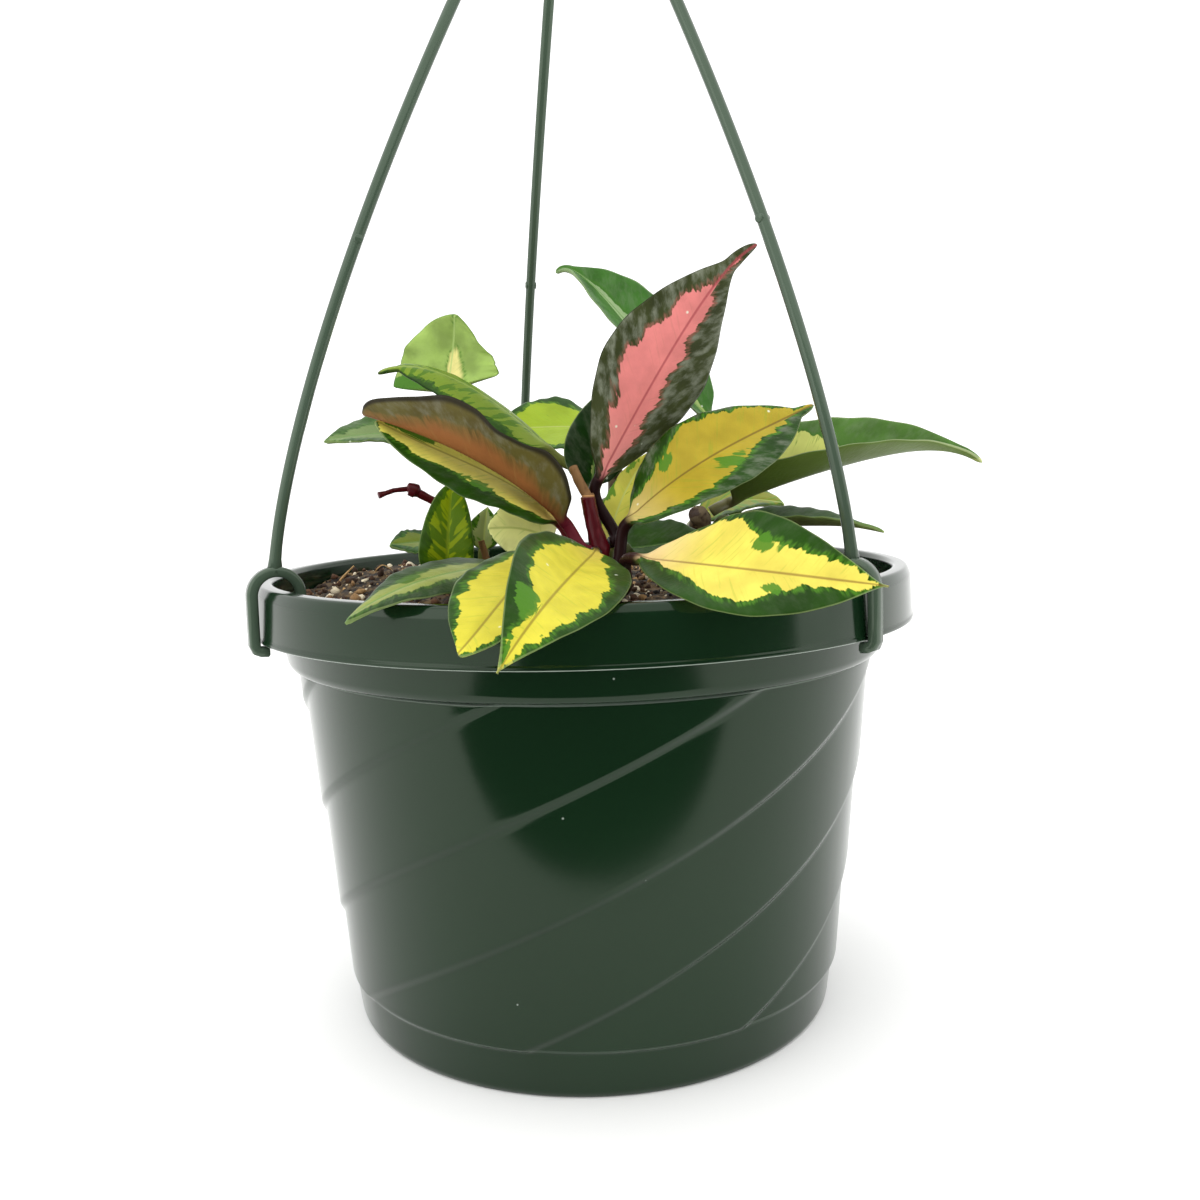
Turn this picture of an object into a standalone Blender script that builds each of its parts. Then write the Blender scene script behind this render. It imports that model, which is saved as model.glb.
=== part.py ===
"""A hoya in its hanging pot, standing on the pot's base.

The pot is a thin moulded cup with eight spiral ribs and a rolled collar. A one-piece plastic
hanger clips over the collar at three places and ends in a hook. Five cuttings stand in the
soil, and every leaf with its stalk is a piece of its own.

Units in the tables are millimetres. +Z is up, -Y is the front, and the origin is the centre
of the pot's base.
"""

import math
from collections import namedtuple

import bpy
import numpy as np

MM = 0.001
GAP = 0.3

# Pot: a turned wall, wider at the neck, with a collar that hangs down outside it
RIB_COUNT = 8
RIB_HEIGHT = 0.9
RIB_TURN = 1.8
RIB_START = -211.0
RIB_BOTTOM = 11.0
RIB_TOP = 85.0
RIB_ROWS = 15
RIB_COLUMNS = (0.03, 0.2, 0.4, 0.6, 0.8, 0.97)
BODY_RADIUS = 59.2
BODY_FLARE = 0.118
BASE_RADIUS = 57.4
FLOOR = 1.8
NECK_BOTTOM = 85.4
NECK_TOP = 93.4
RIM_TOP = 105.2
COLLAR_BOTTOM = 93.3
COLLAR_RADIUS = 78.0
COLLAR_WALL = 1.2
RIM_INSIDE = 72.7
DRAIN_HOLES = 6
DRAIN_CIRCLE = 41.0
DRAIN_RADIUS = 4.0

# Soil
SOIL_GAP = 0.6
SOIL_LEVEL = 99.0
SOIL_COLUMNS = 24
SOIL_RINGS = (11.0, 22.0, 33.0, 44.0, 54.0, 63.0)
SOIL_BUMP = 0.35
HEAP_HEIGHT = 5.0
HEAP_ANGLE = 150.0
HEAP_RADIUS = 56.0
HEAP_SPREAD = 17.0

# Hanger: the compass angle of each clip, then the clips, the arms and the hook
ARM_ANGLES = (207.0, -43.0, 104.0)
CLIP_RADIUS = 74.2
CLIP_SPRING = 103.7
CLIP_ARCH = 5.15
CLIP_THICK = 2.2
CLIP_WIDE = 3.3
HUB = (1.7, -4.5, 283.0)
ARM_FOOT = 108.6
ARM_BEND = 1.36
ARM_RADIUS = 1.25
FORK_RADIUS = 1.4
ARM_STEPS = 12
PAD_HEIGHT = 179.0
PAD_RADIUS = 1.0
PAD_LIFT = 0.25
HUB_RADIUS = 6.5
HUB_HALF = 4.0
HOOK_BEND = 9.5
HOOK_RADIUS = 2.1
HOOK_NECK = 17.0

# Stems and leaf stalks
TUBE_SIDES = 8
STEM_FOOT = 75.0
STALK_RADIUS = 1.35
STALK_STEPS = 4

# Blades
BLADE_THICK = 1.2
EDGE_THINNING = 0.35
BLADE_WIDEST = 0.44
FOLD_SOFT = 0.18
WAVES = 2.2
TIP_HALF = 0.5
DRIP_SHARE = 0.13
ACROSS = (-1.0, -0.5, 0.0, 0.5, 1.0)
STATIONS = (0.04, 0.12, 0.24, 0.38, 0.52, 0.66, 0.78, 0.87, 0.92, 0.97, 1.0)

# A stem is a list of centre points, each with the stem's radius there
STEMS = {
    "stem_front": (
        (2.2, -21.0, STEM_FOOT, 1.9),
        (2.6, -21.4, 98.0, 1.9),
        (3.6, -22.0, 107.0, 2.3),
        (3.9, -22.0, 110.5, 2.5),
        (2.9, -22.0, 115.0, 1.8),
        (1.4, -21.0, 122.6, 1.65),
        (1.35, -20.98, 122.7, 1.15),
        (-0.4, -20.2, 126.2, 1.15),
        (-1.6, -19.0, 129.2, 1.0),
    ),
    "stem_low": (
        (-8.0, -26.6, STEM_FOOT, 1.9),
        (-8.0, -26.6, 97.0, 1.9),
        (-8.1, -26.9, 103.0, 2.0),
        (-8.2, -27.0, 107.0, 1.8),
    ),
    "stem_right": (
        (22.0, 9.0, STEM_FOOT, 1.9),
        (24.0, 8.5, 98.0, 1.9),
        (27.0, 5.5, 109.0, 2.2),
        (29.3, 2.5, 115.2, 2.7),
        (28.2, 0.2, 117.0, 2.3),
    ),
    "stem_left": (
        (-27.0, 4.0, STEM_FOOT, 1.9),
        (-28.0, 4.0, 100.0, 1.9),
        (-29.5, 4.5, 112.0, 2.0),
        (-31.0, 5.0, 124.0, 1.9),
        (-32.0, 5.5, 131.5, 1.6),
    ),
    "stem_back": (
        (9.0, 14.0, STEM_FOOT, 1.9),
        (9.0, 14.0, 100.0, 1.9),
        (8.2, 13.4, 115.0, 2.0),
        (9.0, 13.5, 128.0, 1.8),
        (9.6, 14.0, 136.5, 1.5),
    ),
    "dry_stalk": (
        (-21.3, -4.5, 88.0, 0.9),
        (-22.3, -3.8, 104.0, 0.9),
        (-24.3, -2.8, 112.0, 0.8),
    ),
}

# The flower stalk leans out of the left stem and carries the scars of old flowers
FLOWER_STALK = (
    (-33.1, 4.1, 120.6, 1.0),
    (-36.2, 3.0, 121.8, 1.0),
    (-39.4, 2.4, 123.6, 1.1),
    (-40.2, 2.2, 124.2, 1.8),
    (-41.8, 1.9, 124.8, 1.6),
    (-42.2, 1.8, 124.8, 0.65),
    (-45.2, 1.0, 124.6, 0.6),
    (-47.0, 0.0, 124.0, 0.6),
    (-48.6, -1.0, 123.5, 0.85),
)

# A leaf: where its stalk leaves the stem (a stem, a height on it and a compass angle), the
# blade's base, middle and tip, the way its upper face looks, half its width, the fold of its
# two halves and its twist in degrees, how far the tip droops, the height of its waves, how
# drawn out its tip is, how far along the blade it is broadest, the share of its length that its
# narrow drip tip takes, and the power of t that the droop goes by
Leaf = namedtuple("Leaf", "stem height angle base mid tip face half fold twist droop wave tail"
                  " broad drip bend", defaults=(BLADE_WIDEST, 0.0, 4))
LEAVES = {
    "leaf_pink": Leaf("stem_front", 111.4, 22, (3.5, -18.0, 125.2), (20.6, -17.3, 154.0),
                      (40.5, -19.1, 176.9), (0.57, -0.82, -0.05), 14.3, -6, 18, 7.4, -0.6, 1.21,
                      0.47, 0.12, 6),
    "leaf_bronze": Leaf("stem_front", 111.0, 222.7, (-3.8, -24.0, 117.1), (-21.0, -29.7, 131.3),
                        (-47.1, -25.5, 142.3), (0.41, 0.34, 0.85), 10.4, 39, 18, 1.8, -1.7, 0.48,
                        0.52),
    "leaf_yellow_left": Leaf("stem_front", 105.5, 168, (-4.6, -20.0, 116.4), (-21.7, -21.0, 128.3),
                             (-44.7, -24.0, 140.3), (0.14, -0.55, 0.82), 13.3, 8, 22, -5.7, 0.4, 0.8),
    "leaf_olive": Leaf("stem_front", 107.2, -20, (10.0, -23.0, 116.2), (29.0, -23.2, 130.3),
                       (55.4, -6.0, 141.9), (-0.1, -0.7, 0.71), 12.3, 8, -39, -1.5, -0.1, 0.79,
                       0.47, 0.07, 6),
    "leaf_gold_front": Leaf("stem_front", 104.5, -90, (2.8, -32.2, 110.8), (-4.0, -77.2, 108.8),
                            (-14.3, -99.3, 97.4), (0.44, -0.41, 0.8), 11.2, 19, 16, 4.0, 0.4, 1.3),
    "leaf_gold_right": Leaf("stem_front", 101.5, -35, (10.4, -50.0, 110.8), (31.1, -77.7, 110.4),
                            (53.2, -82.6, 107.6), (-0.06, -0.88, 0.47), 10.9, 18, -32, 0.0, 0.4, 1.45),
    "leaf_pale_strip": Leaf("stem_front", 104.0, 80, (5.9, -14.5, 108.9), (9.9, -10.5, 121.5),
                            (17.6, -8.0, 132.6), (-0.55, -0.81, 0.2), 4.4, 12, 0, 0.0, 0.3, 0.95),
    "leaf_dark_low": Leaf("stem_front", 104.5, 12, (10.3, -17.0, 110.1), (18.0, -16.0, 110.6),
                          (28.7, -18.0, 112.5), (0.0, -0.48, 0.88), 10.4, 5, 0, 0.0, 0.4, 0.95),
    "leaf_gold_left": Leaf("stem_low", 105.0, -120, (-7.8, -33.3, 110.9), (-13.5, -72.6, 107.1),
                           (-21.6, -87.0, 98.3), (0.03, -0.39, 0.92), 10.1, 6, -15, -1.4, 0.4, 0.75),
    "leaf_dark_left": Leaf("stem_low", 101.5, 180, (-16.9, -28.0, 108.0), (-27.9, -59.7, 109.5),
                           (-43.6, -72.7, 102.5), (0.06, -0.38, 0.92), 7.5, -1, -37, 5.2, 0.3, 0.85),
    "leaf_pale_mid": Leaf("stem_low", 106.0, 110, (-7.0, -14.0, 112.0), (-13.4, -14.0, 115.0),
                          (-21.7, -14.5, 115.3), (0.05, -0.86, 0.5), 8.0, 4, 0, 0.0, 0.3, 0.65),
    "leaf_long_right": Leaf("stem_right", 115.5, 30, (37.1, 6.0, 119.2), (63.4, -3.3, 128.3),
                            (97.2, -1.2, 127.4), (0.02, -0.37, 0.93), 14.2, 42, -8, 7.5, 0.1, 1.03,
                            0.33, 0.06, 8),
    "leaf_thin_right": Leaf("stem_right", 110.9, 0, (35.0, -0.5, 115.1), (52.0, -9.6, 114.6),
                            (69.7, -15.8, 112.2), (0.0, -0.09, 1.0), 8.6, 19, 14, 3.8, 0.1, 1.05,
                            0.43, 0.11, 6),
    "leaf_lime_right": Leaf("stem_right", 111.0, 90, (30.6, 19.5, 114.3), (40.4, 18.0, 118.5),
                            (51.8, 14.0, 117.7), (0.0, -0.3, 0.95), 10.8, 6, 5, 0.2, 0.4, 0.95),
    "leaf_crinkled": Leaf("stem_left", 130.0, 90, (-33.6, 22.0, 148.7), (-31.9, 24.4, 158.7),
                          (-30.5, 20.1, 168.0), (-0.41, -0.91, 0.0), 16.0, 8, -8, -0.4, 0.9, 0.62,
                          0.14),
    "leaf_grey_left": Leaf("stem_left", 129.0, 170, (-38.4, 6.0, 137.6), (-48.4, 3.0, 138.0),
                           (-60.8, -2.0, 136.6), (0.05, -0.42, 0.91), 8.9, 12, -6, 0.0, 0.4, 0.95),
    "leaf_speckled": Leaf("stem_left", 101.0, -110, (-32.4, -4.0, 105.2), (-32.1, -6.9, 111.1),
                          (-30.6, -3.7, 125.8), (0.03, -0.99, 0.1), 6.7, 12, -1, 0.9, 0.3, 0.5),
    "leaf_small_left": Leaf("stem_left", 107.0, 180, (-35.5, 4.0, 111.4), (-41.5, 2.0, 111.4),
                            (-46.8, 0.0, 111.1), (-0.01, -0.42, 0.91), 6.5, 7, 0, 0.0, 0.2, 0.95),
    "leaf_curl_low": Leaf("stem_left", 104.0, -20, (-24.2, 2.0, 109.4), (-23.7, 2.0, 114.0),
                          (-22.9, 3.0, 119.8), (-0.1, -0.95, 0.24), 4.4, 14, 0, 0.0, 0.2, 0.95),
    "leaf_lime": Leaf("stem_back", 128.0, 200, (-7.1, 9.0, 132.5), (-27.6, 4.6, 149.4),
                      (-47.3, -1.3, 152.3), (0.19, -0.38, 0.91), 10.5, -14, 8, 3.5, 0.2, 0.55, 0.44,
                      0.12, 6),
    "leaf_lime_back": Leaf("stem_back", 133.0, 140, (4.2, 28.0, 138.5), (-7.9, 28.0, 139.0),
                           (-21.8, 26.0, 138.9), (0.0, -0.51, 0.86), 14.3, 7, 9, -1.0, 0.4, 0.95),
    "leaf_green_back": Leaf("stem_back", 134.0, 10, (34.0, 13.0, 137.7), (12.5, 13.9, 164.2),
                            (-4.6, 17.5, 177.4), (0.55, -0.61, 0.57), 13.8, 22, 9, 7.2, 0.3, 1.03,
                            0.42, 0.11, 8),
    "leaf_dark_mid": Leaf("stem_back", 120.0, -110, (2.8, -6.0, 124.0), (4.2, -5.0, 134.4),
                          (8.0, -3.0, 147.5), (0.0, -0.97, 0.24), 7.6, 8, 0, -0.6, 0.3, 0.8),
}

# Colours are linear red, green and blue with a roughness
PLASTIC = ((0.042, 0.068, 0.05), 0.34)
EARTH = ((0.03, 0.018, 0.012), 0.95)
BURGUNDY = ((0.14, 0.016, 0.022), 0.45)
BROWN = ((0.16, 0.1, 0.055), 0.85)
DARK_GREEN = ((0.035, 0.1, 0.03), 0.35)
LIME = ((0.25, 0.36, 0.07), 0.38)
YELLOW = ((0.72, 0.6, 0.12), 0.35)
CREAM = ((0.6, 0.62, 0.25), 0.4)
PINK = ((0.6, 0.17, 0.17), 0.4)
BRONZE = ((0.24, 0.11, 0.04), 0.38)
LEAF_COLOURS = {
    "leaf_pink": PINK,
    "leaf_bronze": BRONZE,
    "leaf_yellow_left": YELLOW,
    "leaf_olive": YELLOW,
    "leaf_gold_front": YELLOW,
    "leaf_gold_left": YELLOW,
    "leaf_gold_right": YELLOW,
    "leaf_pale_strip": CREAM,
    "leaf_pale_mid": CREAM,
    "leaf_crinkled": LIME,
    "leaf_lime": LIME,
    "leaf_lime_back": LIME,
    "leaf_lime_right": LIME,
    "leaf_speckled": LIME,
}


def clear_scene():
    for obj in list(bpy.data.objects):
        bpy.data.objects.remove(obj, do_unlink=True)


def unit(vector):
    return vector / np.linalg.norm(vector)


def material(name, look):
    """A plain Principled material in one colour."""
    colour, roughness = look
    made = bpy.data.materials.new(name)
    made.use_nodes = True
    shader = made.node_tree.nodes["Principled BSDF"]
    shader.inputs["Base Color"].default_value = (*colour, 1.0)
    shader.inputs["Roughness"].default_value = roughness
    made.diffuse_color = (*colour, 1.0)
    return made


def signed_volume(points, faces):
    total = 0.0
    for face in faces:
        for second, third in zip(face[1:-1], face[2:]):
            total += np.dot(points[face[0]], np.cross(points[second], points[third]))
    return total


def solid(name, points, faces, look):
    """A closed mesh object from points in millimetres, with its faces turned outwards."""
    points = np.array(points, float)
    if signed_volume(points, faces) < 0:
        faces = [face[::-1] for face in faces]
    mesh = bpy.data.meshes.new(name)
    mesh.from_pydata((points * MM).tolist(), [], faces)
    mesh.materials.append(material(name, look))
    obj = bpy.data.objects.new(name, mesh)
    bpy.context.scene.collection.objects.link(obj)
    return obj


def combine(target, helper, operation):
    """Apply a Boolean to the target and remove the helper."""
    modifier = target.modifiers.new("combine", "BOOLEAN")
    modifier.operation = operation
    modifier.solver = "EXACT"
    modifier.object = helper
    bpy.context.view_layer.update()
    graph = bpy.context.evaluated_depsgraph_get()
    result = bpy.data.meshes.new_from_object(target.evaluated_get(graph))
    target.modifiers.clear()
    target.data = result
    bpy.data.objects.remove(helper, do_unlink=True)


def ring_sides(rings, count):
    """Four-cornered faces between each ring of points and the next."""
    faces = []
    for ring in range(rings - 1):
        for k in range(count):
            following = (k + 1) % count
            low = ring * count
            high = low + count
            faces.append((low + k, low + following, high + following, high + k))
    return faces


def loft(name, rings, look):
    """A solid through a list of rings of points, closed by a flat face at each end."""
    count = len(rings[0])
    faces = ring_sides(len(rings), count)
    faces.append(tuple(reversed(range(count))))
    faces.append(tuple(range((len(rings) - 1) * count, len(rings) * count)))
    return solid(name, np.concatenate(rings), faces, look)


def directions(path):
    """The way a path runs at each of its points."""
    ways = []
    for i in range(len(path)):
        ahead = path[min(i + 1, len(path) - 1)]
        behind = path[max(i - 1, 0)]
        ways.append(unit(ahead - behind))
    return ways


def carried(side, way):
    """The side direction, turned as little as possible to stand square to a new way."""
    return unit(side - np.dot(side, way) * way)


def circle(centre, side, up, radius, count):
    turns = [2 * math.pi * (k + 0.5) / count for k in range(count)]
    return np.array([centre + radius * (math.cos(a) * side + math.sin(a) * up) for a in turns])


def tube_rings(path, sides=TUBE_SIDES):
    """Rings round a path of (x, y, z, radius) points."""
    path = np.array(path, float)
    side = np.array((1.0, 0.0, 0.0))
    rings = []
    for (x, y, z, radius), way in zip(path, directions(path[:, :3])):
        side = carried(side, way)
        rings.append(circle(np.array((x, y, z)), side, np.cross(way, side), radius, sides))
    return rings


def tube(name, path, look, sides=TUBE_SIDES):
    return loft(name, tube_rings(path, sides), look)


def polar(radius, angle, z):
    turn = math.radians(angle)
    return np.array((radius * math.cos(turn), radius * math.sin(turn), z))


def body_radius(z):
    return BODY_RADIUS + BODY_FLARE * (z - 11.0)


def rib_rows():
    """Heights of the ribbed part of the wall."""
    return np.linspace(RIB_BOTTOM, RIB_TOP, RIB_ROWS)


def wall_profile():
    """The pot's section as (radius, z, rib height) from the base's centre up and back inside."""
    ledge = COLLAR_RADIUS - COLLAR_WALL
    outside = [(BASE_RADIUS, 0.0, 0.0), (BASE_RADIUS + 0.7, 1.5, 0.0), (59.3, 10.6, 0.0)]
    outside += [(body_radius(z) + 0.02, z, RIB_HEIGHT) for z in rib_rows()]
    collar = [
        (70.05, NECK_BOTTOM), (72.0, NECK_TOP), (74.3, 94.4), (74.4, 102.4), (75.9, 102.4),
        (ledge, COLLAR_BOTTOM), (COLLAR_RADIUS, COLLAR_BOTTOM), (77.3, 103.4),
        (76.6, RIM_TOP - 0.4), (75.6, RIM_TOP), (73.7, RIM_TOP), (73.0, RIM_TOP - 0.7),
    ]
    inside = [
        (RIM_INSIDE, 95.4), (70.6, 94.8), (68.7, 85.6), (66.7, 84.6), (57.0, 3.0), (55.0, FLOOR),
    ]
    return outside + [(radius, z, 0.0) for radius, z in collar + inside]


def pot_ring(radius, z, lift):
    """One ring of the pot. Each rib rises steadily from one spiral line to the next."""
    turned = RIB_TURN * min(max(z, RIB_BOTTOM), RIB_TOP)
    if radius < 57.1 and z < 4.0:
        turned = RIB_TURN * RIB_TOP
    ring = []
    for panel in range(RIB_COUNT):
        for share in RIB_COLUMNS:
            angle = RIB_START + turned + 360.0 / RIB_COUNT * (panel + share)
            ring.append(polar(radius + lift * share, angle, z))
    return ring


def split_sides(rings, count):
    """Faces between rings as triangles, each quad cut across its shorter diagonal."""
    points = np.concatenate(rings)
    faces = []
    for a, b, c, d in ring_sides(len(rings), count):
        if np.linalg.norm(points[a] - points[c]) < np.linalg.norm(points[b] - points[d]):
            faces += [(a, b, c), (a, c, d)]
        else:
            faces += [(a, b, d), (b, c, d)]
    return faces


def fans(count, rings, first, last):
    """Triangles from the first and the last ring to a point in the middle of each."""
    top = (rings - 1) * count
    faces = []
    for k in range(count):
        following = (k + 1) % count
        faces.append((first, following, k))
        faces.append((last, top + k, top + following))
    return faces


def disc_solid(name, rings, bottom, top, look):
    """A solid through rings round the axis, closed to a middle point at both ends."""
    count = len(rings[0])
    points = list(np.concatenate(rings)) + [bottom, top]
    first = len(points) - 2
    faces = split_sides(rings, count) + fans(count, len(rings), first, first + 1)
    return solid(name, points, faces, look)


def make_pot():
    rings = [pot_ring(*row) for row in wall_profile()]
    pot = disc_solid("pot", rings, np.zeros(3), np.array((0.0, 0.0, FLOOR)), PLASTIC)
    for k in range(DRAIN_HOLES):
        x, y, _ = polar(DRAIN_CIRCLE, 360.0 / DRAIN_HOLES * k + 15.0, 0.0)
        path = ((x, y, -2.0, DRAIN_RADIUS), (x, y, FLOOR + 0.4, DRAIN_RADIUS))
        combine(pot, tube("drain", path, PLASTIC, 12), "DIFFERENCE")


def soil_height(x, y, bump):
    """The soil's level, with one heap near the wall."""
    heap = polar(HEAP_RADIUS, HEAP_ANGLE, 0.0)
    away = math.hypot(x - heap[0], y - heap[1]) / HEAP_SPREAD
    return SOIL_LEVEL + HEAP_HEIGHT * math.exp(-away * away) + bump


def soil_rings():
    dice = np.random.default_rng(7)
    angles = [360.0 / SOIL_COLUMNS * k for k in range(SOIL_COLUMNS)]
    below = [(54.4, 2.3), (56.4, 3.4), (66.1, 85.1), (68.1, 86.1), (70.0, 95.3), (72.1, 95.9)]
    rings = [[polar(radius, angle, z) for angle in angles] for radius, z in below]
    edge = RIM_INSIDE - SOIL_GAP
    for radius in (edge, *reversed(SOIL_RINGS)):
        ring = []
        for angle in angles:
            x, y, _ = polar(radius, angle, 0.0)
            bump = dice.uniform(-SOIL_BUMP, SOIL_BUMP) if radius < edge else 0.0
            ring.append((x, y, soil_height(x, y, bump)))
        rings.append(ring)
    return rings


def make_soil():
    bottom = np.array((0.0, 0.0, FLOOR + GAP + 0.2))
    top = np.array((0.0, 0.0, SOIL_LEVEL))
    soil = disc_solid("soil", soil_rings(), bottom, top, EARTH)
    for path in STEMS.values():
        combine(soil, tube("hole", hole_path(path), EARTH), "DIFFERENCE")


def hole_path(path):
    """A stem's own path with a gap round it, from a little below its foot."""
    x, y, z, radius = path[0]
    wider = [(x, y, z - 1.0, radius + GAP + 0.1)]
    wider += [(a, b, c, r + GAP + 0.1) for a, b, c, r in path if c < 112.5]
    return wider


def clip_line():
    """The middle line of a clip's section, from inside the pot over the rim to its toe."""
    line = [(CLIP_RADIUS - CLIP_ARCH, 100.5)]
    for k in range(9):
        turn = math.pi * (1.0 - k / 8.0)
        line.append((CLIP_RADIUS + CLIP_ARCH * math.cos(turn),
                     CLIP_SPRING + CLIP_ARCH * math.sin(turn)))
    line += [(79.4, 93.2), (79.0, 92.2), (78.2, 91.88), (76.4, 91.8)]
    return np.array(line)


def clip_rings(angle):
    line = clip_line()
    across = polar(1.0, angle + 90.0, 0.0)
    rings = []
    for (radius, z), (run, rise) in zip(line, directions(line)):
        centre = polar(radius, angle, z)
        thick = polar(-rise, angle, run) * CLIP_THICK / 2
        wide = across * CLIP_WIDE / 2
        rings.append([centre + thick + wide, centre + thick - wide,
                      centre - thick - wide, centre - thick + wide])
    return rings


def arm_point(angle, share):
    """A point on an arm's middle line, from the clip at 0 to the hub at 1."""
    foot = polar(CLIP_RADIUS, angle, ARM_FOOT)
    hub = np.array(HUB)
    point = foot + (hub - foot) * share ** ARM_BEND
    point[2] = foot[2] + (hub[2] - foot[2]) * share
    return point


def arm_path(angle):
    path = []
    for share in np.linspace(0.0, 0.985, ARM_STEPS + 1):
        radius = ARM_RADIUS + (FORK_RADIUS - ARM_RADIUS) * share
        path.append((*arm_point(angle, share), radius))
    return path


def pad_path(angle):
    """A small round pad through an arm, square to its plane, as a mould leaves."""
    share = (PAD_HEIGHT - ARM_FOOT) / (HUB[2] - ARM_FOOT)
    centre = arm_point(angle, share)
    reach = polar(ARM_RADIUS + PAD_LIFT, angle + 90.0, 0.0)
    return [(*(centre - reach), PAD_RADIUS), (*(centre + reach), PAD_RADIUS)]


def hook_path():
    """The neck and the round hook, in the plane that faces the front."""
    x, y, z = HUB
    top = z + HOOK_NECK
    path = [(x, y, z + 1.0), (x, y, top), (x + 1.4, y, top + 3.6)]
    centre = top + HOOK_BEND + 4.4
    for degrees in range(-54, 217, 18):
        turn = math.radians(degrees)
        path.append((x + HOOK_BEND * math.cos(turn), y, centre + HOOK_BEND * math.sin(turn)))
    return [(*point, HOOK_RADIUS) for point in path]


def hub_path():
    x, y, z = HUB
    levels = (-HUB_HALF, 1.0 - HUB_HALF, HUB_HALF - 1.0, HUB_HALF)
    return [(x, y, z + level, HUB_RADIUS - (abs(level) == HUB_HALF)) for level in levels]


def make_hanger():
    hanger = tube("hanger", hub_path(), PLASTIC, 16)
    for angle in ARM_ANGLES:
        combine(hanger, tube("arm", arm_path(angle), PLASTIC), "UNION")
        combine(hanger, loft("clip", clip_rings(angle), PLASTIC), "UNION")
        combine(hanger, tube("pad", pad_path(angle), PLASTIC), "UNION")
    combine(hanger, tube("hook", hook_path(), PLASTIC), "UNION")


def make_stems():
    for name, path in STEMS.items():
        tube(name, path, BROWN if name == "dry_stalk" else BURGUNDY)
    tube("flower_stalk", FLOWER_STALK, BURGUNDY)


def outline(leaf, t):
    """Half the blade's width at t, as a share of its widest: the body, and its drip tip if any."""
    rise = leaf.tail * leaf.broad / (1 - leaf.broad)
    u = min(t / (1 - leaf.drip), 1.0)
    body = (u / leaf.broad) ** rise * ((1 - u) / (1 - leaf.broad)) ** leaf.tail
    if not leaf.drip:
        return body
    return math.hypot(body, DRIP_SHARE * t * math.sqrt(min((1 - t) / leaf.drip, 1.0)))


def blade_frame(leaf, t):
    """The midrib's point at t, the way it runs, and the blade's side and face directions."""
    base, middle, tip = (np.array(point, float) for point in (leaf.base, leaf.mid, leaf.tip))
    tip[2] += leaf.droop
    pull = 2 * middle - (base + tip) / 2
    centre = (1 - t) ** 2 * base + 2 * t * (1 - t) * pull + t * t * tip
    centre[2] -= leaf.droop * t ** leaf.bend
    along = 2 * (1 - t) * (pull - base) + 2 * t * (tip - pull)
    along[2] -= leaf.bend * leaf.droop * t ** (leaf.bend - 1)
    along = unit(along)
    side = unit(np.cross(along, unit(np.array(leaf.face))))
    face = np.cross(side, along)
    turn = math.radians(leaf.twist) * (t - 0.5)
    return (centre, along, math.cos(turn) * side + math.sin(turn) * face,
            math.cos(turn) * face - math.sin(turn) * side)


def blade_point(leaf, t, s):
    """A point on the blade's middle surface: t from base to tip, s from edge to edge."""
    centre, _, side, face = blade_frame(leaf, t)
    width = leaf.half * max(outline(leaf, t), TIP_HALF / leaf.half)
    fold = math.radians(leaf.fold)
    rise = (math.sqrt(s * s + FOLD_SOFT ** 2) - FOLD_SOFT) / (math.sqrt(1 + FOLD_SOFT ** 2) - FOLD_SOFT)
    phase = leaf.angle + math.copysign(1.3, s)
    wave = leaf.wave * math.sin(2 * math.pi * WAVES * t + phase) * abs(s) ** 3 * min(4 * t * (1 - t), 1.0)
    return centre + width * math.cos(fold) * s * side + (width * math.sin(fold) * rise + wave) * face


def blade_ring(leaf, t):
    """Points over the upper face from edge to edge, then back over the lower face."""
    along = blade_frame(leaf, t)[1]
    upper = []
    lower = []
    for s in ACROSS:
        point = blade_point(leaf, t, s)
        step = blade_point(leaf, t, s + 0.02) - blade_point(leaf, t, s - 0.02)
        out = unit(np.cross(step, along)) * BLADE_THICK / 2 * (1 - EDGE_THINNING * s * s)
        upper.append(point + out)
        lower.append(point - out)
    return np.array(upper + lower[::-1])


def stem_side(leaf):
    """The point just off the stem's skin where a leaf's stalk starts, and the way it leaves."""
    path = np.array(STEMS[leaf.stem], float)
    heights = path[:, 2]
    centre = np.array([np.interp(leaf.height, heights, path[:, axis]) for axis in range(3)])
    radius = np.interp(leaf.height, heights, path[:, 3])
    above = np.array([np.interp(leaf.height + 1, heights, path[:, axis]) for axis in range(3)])
    out = carried(polar(1.0, leaf.angle, 0.0), unit(above - centre))
    return centre + (radius + GAP + 0.15) * out, out


def stalk_ring(centre, side, face):
    """Ten points round a stalk, in the order of a blade's ring."""
    turns = [math.radians(162 - 36 * k) for k in range(10)]
    return np.array([centre + STALK_RADIUS * (math.cos(a) * side + math.sin(a) * face) for a in turns])


def stalk_rings(leaf):
    """Rings along the stalk, which leaves the stem squarely and runs into the midrib."""
    start, out = stem_side(leaf)
    end, along, side, _ = blade_frame(leaf, 0.0)
    reach = np.linalg.norm(end - start) * 0.38
    first = start + out * reach
    second = end - along * reach
    shares = np.linspace(0.0, 1.0, STALK_STEPS + 1)
    path = [(1 - u) ** 3 * start + 3 * u * (1 - u) ** 2 * first + 3 * u * u * (1 - u) * second
            + u ** 3 * end for u in shares]
    ways = directions(path)
    ways[0] = out
    ways[-1] = along
    rings = []
    for centre, way in zip(path[::-1], ways[::-1]):
        side = carried(side, way)
        rings.append(stalk_ring(centre, side, np.cross(side, way)))
    return rings[::-1]


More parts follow.
